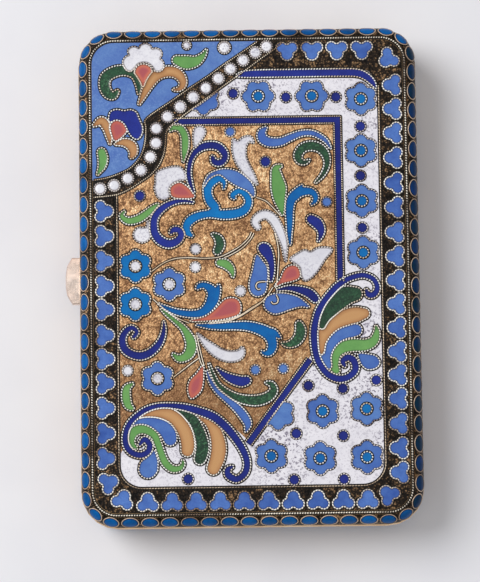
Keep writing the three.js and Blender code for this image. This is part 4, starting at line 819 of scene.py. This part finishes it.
# Cells inside the two large scrolls, on a white ground.
SCROLL_CELLS = [
    ("royal", [(25.4, -3.9, 0.7), (25.9, -4.9, 1.3), (27.1, -4.8, 1.3), (27.8, -3.6, 1.2), (27.5, -2.2, 1.1),
        (26.6, -1.2, 1.1), (24.8, -0.6, 1.15), (22.8, -0.9, 1.2), (21, -1.6, 1.2), (19.2, -2.8, 1.3),
        (17.6, -4.4, 1.3), (16, -6.4, 1.3), (14.9, -8.4, 1.4), (14.3, -10.2, 1.4), (13.9, -12.2, 1.5),
        (13.8, -14.3, 1.5), (14.1, -17.5, 1.4), (15, -20, 1.4), (16.7, -22.2, 1.4), (19, -23.2, 1.5),
        (21.2, -22.8, 1.4), (22.7, -21.2, 1.5), (22.3, -19.2, 1.5), (21, -18.6, 1.4), (20, -19.4, 1.2),
        (20.4, -20.4, 0.7)]),
    ("dark_green", [(23, -4.7, 3), (21, -5, 4), (19.3, -6.1, 4), (17.7, -7.7, 3.4), (16.3, -9.6, 2.4),
        (15.6, -11.6, 1.3)]),
    ("ochre", [(24.8, -9, 2.4), (23.4, -9.2, 3.3), (21.5, -9.6, 3.5), (18.7, -10.7, 3.2), (16.6, -12.5, 2.9),
        (15.3, -14.8, 2.4), (15.1, -17, 1.8)]),
    ("periwinkle", [(23, -12.6, 2.6), (22, -12.7, 3), (20.5, -12.9, 3.1), (18.5, -14.1, 2.8),
        (16.9, -16, 2.6), (16.2, -18.2, 2.4), (16.6, -20.3, 1.8)]),
    ("light_green", [(27.3, -11.7, 0.4), (27.5, -13.2, 1.3), (26.8, -15, 2), (25, -15.9, 2.4),
        (22.3, -15.9, 2.6), (20, -16.4, 2.5), (18.4, -17.7, 2.4), (17.9, -19.8, 2.4), (18.5, -21.4, 1.6)]),
    ("periwinkle", [(23.4, -17.8), (25.2, -17.9), (27.2, -18.4), (28, -19.7), (27.2, -20.9), (25.4, -21.2),
        (24.2, -20.3), (23.6, -19)]),
    ("royal", [(-24.4, -36.9, 0.7), (-23.4, -35.8, 1.2), (-22.3, -36.9, 1.3), (-22.6, -38.4, 1.3),
        (-24.2, -39.2, 1.3), (-26.2, -38.6, 1.3), (-27.4, -36.9, 1.3), (-27.5, -34.7, 1.2),
        (-26.8, -32.7, 1.2), (-25.4, -31, 1.1), (-23.1, -29.4, 1.1), (-20.6, -28.6, 1), (-18.1, -28.5, 1),
        (-14.8, -28.9, 1.3), (-11.6, -29.8, 1.6), (-8.5, -31, 1.7), (-6, -33, 1.7), (-3.8, -35.6, 1.6),
        (-2, -38.5, 1.5), (-1.2, -41, 1.4), (-1.6, -43.3, 1.4), (-3.4, -44.7, 1.4), (-5.2, -43.9, 1.5),
        (-5.4, -42.6, 1.2), (-4.4, -42, 0.6)]),
    ("light_green", [(-25, -37.8, 0.4), (-26.2, -36.6, 1.4), (-26.2, -35, 1.9), (-25.1, -33.8, 2),
        (-23.2, -33.7, 1.8), (-21.3, -34.9, 1.6), (-20.5, -36.7, 1.5), (-19.9, -38.5, 1.5), (-19, -40.8, 1.6),
        (-17.5, -42.2, 1.5), (-15.9, -42.2, 1.2), (-15.1, -41.3, 0.8), (-15.2, -40.4, 0.4)]),
    ("periwinkle", [(-26.1, -33, 1.4), (-23.8, -32.2, 2), (-21.2, -32.4, 2.5), (-19.3, -33.3, 3),
        (-18.2, -34.6, 3.2), (-17.8, -35.8, 2.9)]),
    ("ochre", [(-24, -30.8, 1.6), (-20.4, -29.9, 2.6), (-17.3, -30.9, 2.7), (-15.5, -32.7, 2.9),
        (-14.4, -34.8, 3), (-14, -37.1, 2.9), (-14.1, -38.3, 2.7)]),
    ("dark_green", [(-16, -30, 1.4), (-13.2, -31.3, 2), (-11.9, -33.3, 2.2), (-11.1, -35.6, 2.5),
        (-10.8, -37.6, 2.7), (-11.1, -39.4, 2.6), (-11.4, -40.2, 2.4)]),
    ("ochre", [(-12, -30.3, 1.8), (-9.3, -31.9, 2.4), (-7.9, -34.6, 2.7), (-7.3, -37.5, 3.2),
        (-7.6, -40, 3.2), (-8.5, -42.3, 2.8)]),
    ("periwinkle", [(-21.4, -38.6, 0.6), (-21.8, -40.3, 2.6), (-22.4, -41.6, 3.9), (-22.7, -42.3, 3.9)]),
]

# Six-lobed flowers: colour, colour of the disc, first lobe's angle in degrees, group of the wire, centres.
LID_FLOWERS = [
    ("cerulean", "white", 90, "scroll", [(-25, 2.1), (-25.1, -6.3)]),
    ("periwinkle", "white", 90, "scroll", [(-17.65, -2), (-20.4, -22.6)]),
    ("periwinkle", "cerulean", 90, "flower", [
        (24.8, 27), (24.8, 15.8), (24.9, 4.4), (15.4, -30.2), (25, -29.8), (14.7, -40.4), (24.9, -40.3),
        (4.1, -39.8), (25, 38.5),
    ]),
    ("periwinkle", "cerulean", 60, "flower", [(2.4, 39.4), (14.2, 39.3)]),
]
# Flowers that a border cuts off: centre, and the region that what is left of them lies in.
CUT_FLOWERS = [
    (-9.7, 39, [(-14.6, 35.4), (30, 35.4), (30, 51), (5.9, 49.4), (-4.6, 41.8), (-10.6, 37.5)]),
    (5.7, -30.6, [(-0.3, -37.55), (13.5, -19.35), (30, -19.35), (30, -50), (-0.3, -50)]),
]

# Round cells: colour, radius, centres.
LID_DOTS = [
    ("royal", 1.08, [(-3.1, 40.1), (8.5, 39.1), (19.5, 39), (24.8, 32.4), (24.6, 21.4), (24.8, 9.9),
        (12.4, -24.6), (19.9, -25.3), (27.2, -23.6), (9.6, -35), (19.8, -35.6), (9, -45), (19.8, -45),
        (-14, -44.5), (3.8, 24.8), (-23.9, 17.6)]),
    ("periwinkle", 1, [(-3.9, 31.6), (17.1, 15.7), (0.9, -21), (7, -20.8)]),
    ("white", 1.05, [(-11.8, 5.7), (-11.9, 1.7), (-2.1, -3.7), (-26.9, -20.8)]),
]

# Single gilt wires: stems and curls inside cells.
LID_STEMS = [
    [(-21.4, 0.9), (-19, 2.6), (-16.4, 3.6), (-13.4, 3.8), (-10, 3.6), (-6.9, 3.8), (-4.6, 4.7), (-2, 6.2),
        (-0.1, 8), (0.5, 9.3)],
    [(-5.6, 3.7), (-4.3, 4.2), (-1.7, 5.7), (0.2, 7.6), (1, 9)],
    [(1.7, 16.9), (3.7, 16.1), (5.3, 14.6), (6.9, 12.8)],
    [(5.6, -3.2), (6, -1), (6.2, 1.2), (6.4, 4), (6.2, 6.6), (5.6, 9)],
    [(5, -3), (3, -5.7), (0.2, -7.5), (-2.2, -9), (-5, -10), (-9, -10.5)],
    [(4.7, -3.5), (2.6, -6.1), (-0.2, -8), (-2.6, -9.4), (-5.4, -10.4), (-9, -10.8)],
    [(-13.4, -10.6), (-16.4, -9.2), (-18.6, -7.6), (-21.2, -5.2)],
    [(-11.3, -18.2), (-13, -19.4), (-15.4, -21.2), (-17, -22.4)],
    [(-11.8, -13.2), (-11.2, -16), (-10.6, -18.6), (-10.2, -20)],
    [(-12.2, -13.2), (-11.7, -16), (-11.1, -18.8), (-10.5, -20.2)],
    [(3.9, -1.8), (2.9, -1.7), (1.7, -1.9), (1.3, -2.7), (1.7, -3.4), (2.3, -3.3)],
    [(5.7, -4.6), (6.1, -5.6), (5.9, -6.4), (5, -6.6), (4.6, -6.1)],
]

PEARL_RADIUS = 1.15
PEARLS = [
    (4.4, 50.5), (1.9, 49.2), (-0.8, 47.5), (-3.6, 45.6), (-6.3, 43.5), (-9.1, 41.4), (-11.9, 39.4),
    (-14.8, 37.3), (-17.6, 35.1), (-20.1, 32.5), (-20.2, 29.3), (-21.5, 26.2), (-23.6, 23.3), (-26.5, 21.5),
    (-29.5, 20), (-32.6, 19.3),
]
LOOSE_PEARLS = [(-13.2, 51, 0.75), (-4.9, 50.4, 1.2)]
PEARL_INNER = [
    (-34, 21.2), (-31, 21.7), (-28.3, 22.6), (-25.9, 23.8), (-24, 25.8), (-23, 27.9), (-22.5, 30.4),
    (-22.4, 32.8), (-22.2, 34.8), (-17, 38.4), (-13.3, 41), (-8.8, 43.9), (-5.2, 46.5), (-1.6, 48.9),
    (2.2, 51.5),
]
PEARL_OUTER = [
    (-34, 17.4), (-29.2, 17.9), (-26.4, 19), (-23.8, 20.6), (-21.4, 22.3), (-19.6, 24.4), (-18.5, 27),
    (-18.1, 29.6), (-17.9, 31.6), (-16.7, 33.3), (-10.8, 37.8), (-4.8, 42.1), (0.4, 45.8), (3.1, 47.8),
    (6, 49.8), (7.9, 51.3),
]

# Blue lines, and how high the wire beside the panels reaches.
TOP_BAND = [
    (-2.4, 44, 0.5), (0.3, 44.4, 1.6), (10, 44.45, 1.7), (20, 44.45, 1.7), (24.2, 44.3, 1.7),
    (26.2, 43.5, 1.6), (27.6, 42.2, 1.3), (28.4, 40.8, 0.4),
]
FRAME_TOP = [(-16.2, 33.95), (19.75, 33.95), (19.75, -1.8)]
DIAGONAL = [(-0.9, -37.1), (12.9, -18.9)]
LINE_HALF, LINE_TOP = 0.68, 41.5

# Grounds.
GOLD_FIELD = [
    (-34, 20), (-20, 33.4), (19, 33.4), (19, -2.5), (14, -10), (13.2, -17.8), (-0.2, -37), (-6, -31.5),
    (-16, -29.1), (-21.6, -29.9), (-25.8, -32.5), (-27.6, -35.6), (-27.3, -38.6), (-34, -38.6),
]
SCROLL_GROUNDS = [
    [(19.2, -2.6), (22, -1.2), (25, -0.6), (28.4, -0.6), (28.4, -20.5), (22.6, -21.4), (19, -23.2),
        (16.5, -22.2), (14.4, -18.4), (13.8, -14), (14.3, -10.2), (16, -6.4)],
    [(-28.4, -38.6), (-27.3, -38.6), (-27.5, -35.6), (-25.8, -32.4), (-21.2, -29.8), (-14.8, -28.9),
        (-8.5, -31), (-3.8, -35.6), (-1.2, -41), (-1.8, -46.1), (-28.4, -46.1)],
]

# A quarter of the base's ornament, which the other three mirror.
BASE_QUARTER = [
    ("royal", [(4.5, 41.5, 0.4), (8.5, 42.6, 1.2), (13.5, 42.8, 1.5), (18.5, 41.2, 1.6), (22.4, 38, 1.7),
        (24.2, 33.6, 1.7), (23.8, 28.8, 1.6), (21, 25.2, 1.6), (17, 24.4, 1.6), (13.8, 26.6, 1.5),
        (13.4, 30.2, 1.4), (15.8, 32.4, 1.3), (18.2, 31.2, 1.1), (17.8, 29.2, 0.6)]),
    ("periwinkle", [(8, 38.8, 0.3), (10.5, 38.9, 1.2), (13, 37.6, 2.2), (14.8, 35.4, 2.4)]),
    ("light_green", [(5.6, 36, 0.3), (7.8, 35.2, 1.2), (9.8, 33.2, 2), (10.6, 30.4, 2), (9.8, 27.8, 0.4)]),
    ("ochre", [(25.2, 24.8, 0.3), (25.6, 21.8, 1.3), (24.8, 18.8, 2), (22.6, 16.6, 1.8), (19.9, 16.6, 0.5)]),
    ("dark_green", [(19, 20.8, 0.3), (16.6, 20.6, 1.4), (14.4, 18.8, 1.9), (13.8, 16, 1.4), (15, 13.8, 0.3)]),
    ("cerulean", [(25.8, 12.4, 0.3), (23.4, 12.6, 1.2), (20.6, 11.2, 1.8), (18.6, 8.4, 2), (18.2, 5, 1.6),
        (20, 2.6, 1.2), (22, 3.4, 0.5)]),
    ("coral", [(23.2, 8.8), (24.8, 8.2), (26, 6.4), (25.8, 4.2), (24.4, 3.8), (23.2, 5.4)]),
    ("white", [(4.2, 30.6), (5.8, 29.4), (6.4, 26.6), (5.6, 23.6), (3.6, 22), (2.6, 24.2), (2.8, 27.6)]),
    ("royal", [(6.8, 20, 0.3), (9.2, 20.6, 1.2), (10.8, 22.8, 1.6), (10.2, 24.8, 0.8)]),
]
BASE_FLOWERS = [
    ("periwinkle", "cerulean", 90, "flower", [(0, 36.2), (0, -36.2)]),
    ("cerulean", "white", 90, "flower", [(0, 17.8), (0, -17.8)]),
]
BASE_DOTS = [("white", 0.95, [(18.4, 36.2), (9.8, 16.2)]), ("periwinkle", 0.95, [(21.6, 44), (4, 44.2)])]


# A trefoil with its single lobe inwards; its own +X points out of the case.
LOBES = [disc(0.7, 1.2, 1.1), disc(0.7, -1.2, 1.1), disc(-0.8, 0, 1.3), disc(0.3, 0, 1.05)]
TREFOIL = smoothed(combined(LOBES), 1)
SIDE_X, SIDE_Y = WIDTH / 2 - TREFOIL_INSET, LENGTH / 2 - TREFOIL_INSET
# Places of the trefoils along each side of the lid; they were set one by one and are uneven, as on the
# object.
LEFT_ROW = (14.3, 8.8, 3.3, -2.2, -7.4, -13, -18.2, -23.5, -28.9, -34.4, -39.8)
LOWER_ROW = (-22.8, -17.5, -12.3, -7.1, -1.9, 3.4, 8.7, 14.1, 19.6, 24.9)
RIGHT_ROW = (
    -43.7, -38.4, -33.1, -27.7, -22.5, -17.4, -12.2, -7, -1.8, 3.5, 8.8, 14.3, 19.7, 25.3, 30.8, 36.2, 41.5
)
UPPER_ROW = (25.4, 19.9, 14.4, 8.9)
LID_TREFOILS = (
    [(0.15 - SIDE_X, y, 180) for y in LEFT_ROW]
    + [(-31.2, -45.1, 203), (-28.2, -48.8, 252), (29.4, -48.5, 315), (31.2, 47.4, 38)]
    + [(x, -SIDE_Y, 270) for x in LOWER_ROW]
    + [(SIDE_X, y, 0) for y in RIGHT_ROW]
    + [(x, SIDE_Y, 90) for x in UPPER_ROW]
)
BASE_TREFOILS = (
    [(sx * SIDE_X, y, 0 if sx > 0 else 180) for sx in (-1, 1) for y in np.linspace(-42.5, 42.5, 15)]
    + [(x, sy * SIDE_Y, sy * 90) for sy in (-1, 1) for x in np.linspace(-25, 25, 9)]
    + [(sx * 30.6, sy * 48.1, sy * (45 if sx > 0 else 135)) for sx in (-1, 1) for sy in (-1, 1)]
)
QUARTERS = [(sx, sy) for sx in (1, -1) for sy in (1, -1)]

OVAL_COUNT, OVAL_START = 82, 0.9
SHADED_OVAL_X = 34.5  # ovals further to the right than this get a darker copy of the enamel, painted shade on the side away from the key light
OVAL_GAP, OVAL_WIRE_GAP = (0.42, 0.18), (0.3, 0.07)  # half sizes left off an oval's share of the border
FLOWER_RADIUS, PETAL_DEPTH, FLOWER_DISC = 3.6, 0.82, 1.1
WIRE_OUT = 0.1  # from a cell's edge to the middle of its wire
TARNISH_AND_SHADE_OUT, FLOWER_TARNISH_AND_SHADE_OUT = 0.2, 0.07  # how far the dark line of oxide and painted shade shows beyond a wire
NEAR = 0.4  # cells closer than this may share a wire


class Half:
    """The ornament of the lid or of the base, collected by material."""

    def __init__(self, name):
        self.name = name
        self.flat, self.side = Ground(name), Ground(name, True)
        self.lift = 0.04 if name == "lid" else -0.03
        self.pieces = {}
        self.laid = []

    def piece(self, key, material, slot, stands_for=()):
        if key not in self.pieces:
            self.pieces[key] = Piece(f"{self.name}_{key}", self.name, material, slot, stands_for)
        return self.pieces[key]

    def cells(self, colour, key=None):
        return self.piece(f"{key or colour}_cells", ENAMELS[colour], SLOTS[colour])

    # a dark ribbon beside a wire: oxide and painted shade
    def tarnish(self, path, closed, half, h=0.03):
        add_ribbon(self.piece("tarnish", TARNISH_AND_SHADE, "stippled_gilt"), self.flat, path, closed, half, h)

    def wire(self, path, closed=True, group="scroll", radius=WIRE_RADIUS, **settings):
        wires = self.piece(f"{group}_wires", WIRES.get(group, WIRE), "gilt")
        add_wire(wires, self.flat, path, closed, self.lift, radius, **settings)
        self.tarnish(path, closed, radius + (FLOWER_TARNISH_AND_SHADE_OUT if group == "flower" else TARNISH_AND_SHADE_OUT))

    def cell(self, colour, outline, group="scroll", shares=False, **settings):
        """A cell with its wire. One that shares gives way to the cells laid before it and has their wire."""
        if shares:
            low, high = outline.min(0) - NEAR, outline.max(0) + NEAR
            near = [o for o in self.laid if (o.max(0) > low).all() and (o.min(0) < high).all()]
            cut = combined([outline] + near, lambda cover: cover == {0}) if near else outline
            self.laid.append(grown(outline, 2 * WIRE_OUT))
            if len(cut) >= 8 and abs(area(cut)) >= 0.3 * abs(area(outline)):
                outline = cut
        add_cell(self.cells(colour), self.flat, outline, **settings)
        self.wire(grown(smoothed(outline, 1), WIRE_OUT), group=group)

    def flowers(self, kinds):
        for colour, middle, turn, group, centres in kinds:
            for x, y in centres:
                self.cell(colour, self.petals(x, y, turn), group)
                self.cell(middle, disc(x, y, FLOWER_DISC), "ring", edge=0.12, skirt=0.14)

    def petals(self, x, y, turn):
        return smoothed(lobed(x, y, FLOWER_RADIUS, 6, PETAL_DEPTH, math.radians(turn), 90))

    def dot(self, colour, x, y, radius, group="flower"):
        self.cell(colour, disc(x, y, radius, 22), group)

    def plate(self, key, outline, h, material, slot, stands_for=()):
        add_plate(self.piece(key, material, slot, stands_for), self.flat, outline, h)

    def panel_line(self, path, closed):
        wires = self.piece("panel_wires", PANEL_WIRE, "gilt", (f"{self.name}_panel_line",))
        add_wire(wires, self.flat, path, closed, self.lift, 0.12, twist=0.35)
        self.tarnish(path, closed, 0.4, 0.0)

    def borders(self, trefoils):
        for x, y, angle in trefoils:
            outline = turned(TREFOIL, x, y, angle)
            add_cell(self.cells("border", "trefoil"), self.flat, outline, dish=0.04)
            self.wire(grown(outline, WIRE_OUT), group="trefoil", twist=0.35)
        self.ovals()
        path = case_outline(ROPE_INSET)
        rope = self.piece("ropes", ROPE_WIRE, "gilt", (f"{self.name}_rope_border",))
        add_wire(rope, self.flat, path, True, self.lift, 0.19, 0.56)
        self.tarnish(path, True, 0.38, -0.05)

    def ovals(self):
        pitch = PERIMETER / OVAL_COUNT
        share = np.array([pitch, SECTION_SPAN]) / 2
        ellipse = disc(0, 0, 1, 40)
        wires = self.piece("oval_wires", OVAL_WIRE, "gilt")
        for k in range(OVAL_COUNT):
            centre = (OVAL_START + k * pitch, 0.0)
            inner = ellipse * (share - OVAL_GAP) + centre
            outer = ellipse * (share - OVAL_WIRE_GAP) + centre
            # painted shade: ovals on the right side get the darker enamel
            shade = "painted_shade_oval" if self.side.place([centre], 0)[0][0] > SHADED_OVAL_X else "oval"
            add_cell(self.cells(shade), self.side, inner, edge=0.05, dish=0.02, dome=0.1, spacing=0.6)
            add_wire(wires, self.side, outer, True, 0.04, 0.11, 0.5, 0.15)

    def make(self):
        for piece in self.pieces.values():
            piece.make()


def build_lid():
    lid = Half("lid")
    flat = case_outline(FLAT_INSET)
    half_x, half_y = WIDTH / 2 - PANEL_INSET, LENGTH / 2 - PANEL_INSET - PANEL_DROP
    panel = rounded(half_x, half_y, PANEL_CORNER) - (0, PANEL_DROP)
    corner_inner = np.array(PEARL_INNER + [(2.2, 60), (-50, 60), (-50, 21.2)])
    corner_outer = np.array(PEARL_OUTER + [(7.9, 60), (-50, 60), (-50, 17.4)])
    lid.plate("dark_ground", flat, -0.06, DARK_GROUND, "stippled_gilt", ("lid_trefoil_border",))
    stars = ("lid_star_panel_upper", "lid_star_panel_lower")
    lid.plate("white_ground", panel, -0.03, WHITE_GROUND, "white_enamel", stars)
    gold = common(panel, GOLD_FIELD)
    lid.plate("gold_ground", gold, -0.02, GOLD_GROUND, "stippled_gilt", ("lid_scroll_panel",))
    scrolls = ("lid_scroll_right", "lid_scroll_lower")
    for ground in SCROLL_GROUNDS:
        outline = common(panel, curve(ground, closed=True))
        lid.plate("scroll_ground", outline, -0.01, WHITE_GROUND, "white_enamel", scrolls)
    lid.plate("pearl_ground", common(flat, corner_outer), 0.0, DARK_GROUND, "stippled_gilt")
    sky = common(flat, corner_inner)
    lid.plate("sky_ground", sky, 0.01, SKY_GROUND, "sky_blue_enamel", ("lid_corner_panel",))

    for group, cells in (("scroll", LID_CELLS), ("leaf", SCROLL_CELLS)):
        for colour, *shapes in cells:
            lid.cell(colour, cell_outline(shapes), "flower" if colour == "white" else group, shares=True)
    lid.flowers(LID_FLOWERS)
    for x, y, region in CUT_FLOWERS:
        lid.cell("periwinkle", common(lid.petals(x, y, 90), region), "flower")
    for colour, radius, places in LID_DOTS:
        for x, y in places:
            lid.dot(colour, x, y, radius)

    solids = ("lid_top_band", "lid_field_frame", "lid_diagonal_line")
    lines = lid.piece("blue_lines", ENAMELS["royal"], SLOTS["royal"], solids)
    top = stroke(TOP_BAND)
    for outline in (top, band(FRAME_TOP, LINE_HALF), band(DIAGONAL, LINE_HALF)):
        add_cell(lines, lid.flat, outline)
    lid.wire(smoothed(top, 1), group="line")
    for points in (FRAME_TOP, DIAGONAL):
        sides = band(points, LINE_HALF + 0.08)
        for side in (sides[: len(points)], sides[len(points) :]):
            lid.wire(side, False, "band", 0.14, pitch=0.5)

    loop = resample(rounded(WIDTH / 2 - LINE_INSET, LENGTH / 2 - LINE_INSET, LINE_CORNER), 0.3, True)
    keep = ~inside(loop, corner_outer) & (loop[:, 1] < LINE_TOP)
    start = int(np.argmax(~keep))
    lid.panel_line(np.roll(loop, -start, 0)[np.roll(keep, -start)], False)

    pearls = lid.piece("pearls", ENAMELS["pearl"], SLOTS["pearl"], ("lid_pearl_band",))
    for x, y, radius in [(x, y, PEARL_RADIUS) for x, y in PEARLS] + LOOSE_PEARLS:
        add_cell(pearls, lid.flat, disc(x, y, radius, 30), edge=0.05, dome=0.14, spacing=0.28)
        lid.wire(disc(x, y, radius + 0.16, 30), group="pearl", radius=0.16, pitch=0.52)
    for line in (PEARL_INNER, PEARL_OUTER):
        lid.wire(curve(line), False, "band", 0.16, pitch=0.46)
    for path in LID_STEMS:
        lid.wire(curve(path), False, "stem", 0.12, pitch=0.5, twist=0.1)
    lid.borders(LID_TREFOILS)
    lid.make()


def build_base():
    base = Half("base")
    panel = rounded(WIDTH / 2 - PANEL_INSET, LENGTH / 2 - PANEL_INSET, PANEL_CORNER)
    flat = case_outline(FLAT_INSET)
    base.plate("dark_ground", flat, -0.06, DARK_GROUND, "stippled_gilt", ("base_trefoil_border",))
    base.plate("gold_ground", panel, -0.03, GOLD_GROUND, "stippled_gilt", ("base_scroll_panel",))
    for colour, shape in BASE_QUARTER:
        outline = cell_outline([shape])
        for quarter in QUARTERS:
            base.cell(colour, outline * quarter)
    base.flowers(BASE_FLOWERS)
    for colour, radius, places in BASE_DOTS:
        for x, y in places:
            for sx, sy in QUARTERS:
                base.dot(colour, x * sx, y * sy, radius)
    base.panel_line(rounded(WIDTH / 2 - LINE_INSET, LENGTH / 2 - LINE_INSET, LINE_CORNER), True)

    rim = lobed(0, 0, 12.6, 12, 0.8, 0, 240)
    base.plate("medallion_ground", rim, 0.02, WHITE_GROUND, "white_enamel", ("base_medallion",))
    base.wire(rim, group="medallion")
    base.cell("cerulean", lobed(0, 0, 4.6, 6, 0.9, 0, 120), "medallion")
    base.cell("white", disc(0, 0, 1.4), "medallion", edge=0.1)
    petal = smoothed(curve([(5.4, 0), (7, 1.2), (9, 1.3), (10.8, 0), (9, -1.3), (7, -1.2)], True))
    for degrees in range(30, 390, 60):
        base.cell("periwinkle", turned(petal, 0, 0, degrees), "medallion")
        between = math.radians(degrees + 30)
        base.dot("royal", 8.6 * math.cos(between), 8.6 * math.sin(between), 0.9, "medallion")
    base.borders(BASE_TREFOILS)
    base.make()


def dress(material, *names):
    for name in names:
        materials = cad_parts[name].data.materials
        materials.clear()
        materials.append(material)


build_lid()
build_base()
dress(SATIN, *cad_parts)
dress(GILT, "lid_edge_band", "base_edge_band_upper", "base_edge_band_lower")
dress(GILT, "hinge_cap_upper", "hinge_cap_lower")
dress(ROSE, "thumb_piece")
dress(STEEL, "latch_spring", "hinge_pin")
dress(DARK_GROUND, "lid_oval_border", "base_oval_border")

# Stage, light and camera.
FLOOR_HALF = 3
ELEVATION, ROLL, DISTANCE = math.radians(84), math.radians(-0.8), 0.54
TARGET = Vector((-0.0022, -0.00365, 0.017))
SENSOR, FOCAL_PIXELS, PHOTO_WIDTH = 36, 2469.4, 480


def floor():
    s = FLOOR_HALF
    mesh = bpy.data.meshes.new("floor")
    mesh.from_pydata([(-s, -s, 0), (s, -s, 0), (s, s, 0), (-s, s, 0)], [], [(0, 1, 2, 3)])
    n = Nodes("floor_paper")
    colour = n.mix(n.span(n.noise(30, 2), 0.4, 0.6), (235, 234, 237), (231, 230, 234))
    mesh.materials.append(n.done(Base_Color=colour, Roughness=0.9))
    placed("floor", mesh)


def lamp(name, place, size, power):
    """A round soft lamp that shines at the case."""
    light = bpy.data.lights.new(name, "AREA")
    light.shape, light.size, light.energy = "DISK", size, power
    obj = placed(name, light)
    obj.location = place
    obj.rotation_euler = (-Vector(place)).to_track_quat("-Z", "Y").to_euler()


def camera():
    back = Vector((0, -math.cos(ELEVATION), math.sin(ELEVATION)))
    right = Vector((1, 0, 0))
    up = back.cross(right)
    across = right * math.cos(ROLL) + up * math.sin(ROLL)
    top = -right * math.sin(ROLL) + up * math.cos(ROLL)
    data = bpy.data.cameras.new("camera")
    data.sensor_fit, data.sensor_width, data.lens = "HORIZONTAL", SENSOR, FOCAL_PIXELS * SENSOR / PHOTO_WIDTH
    data.clip_start, data.clip_end = 0.01, 20
    obj = placed("camera", data)
    at = TARGET + back * DISTANCE
    obj.matrix_world = Matrix([[across[i], top[i], back[i], at[i]] for i in range(3)] + [[0, 0, 0, 1]])
    bpy.context.scene.camera = obj


floor()
lamp("key", (-0.62, 0.3, 0.9), 0.7, 9)
lamp("fill", (0.7, -0.6, 1.0), 0.9, 1.2)
world = bpy.data.worlds.new("studio")
world.use_nodes = True
background = world.node_tree.nodes["Background"].inputs
background["Color"].default_value = (0.95, 0.97, 1.0, 1)
background["Strength"].default_value = 0.44
bpy.context.scene.world = world
camera()
bpy.context.scene.view_settings.view_transform = "Standard"
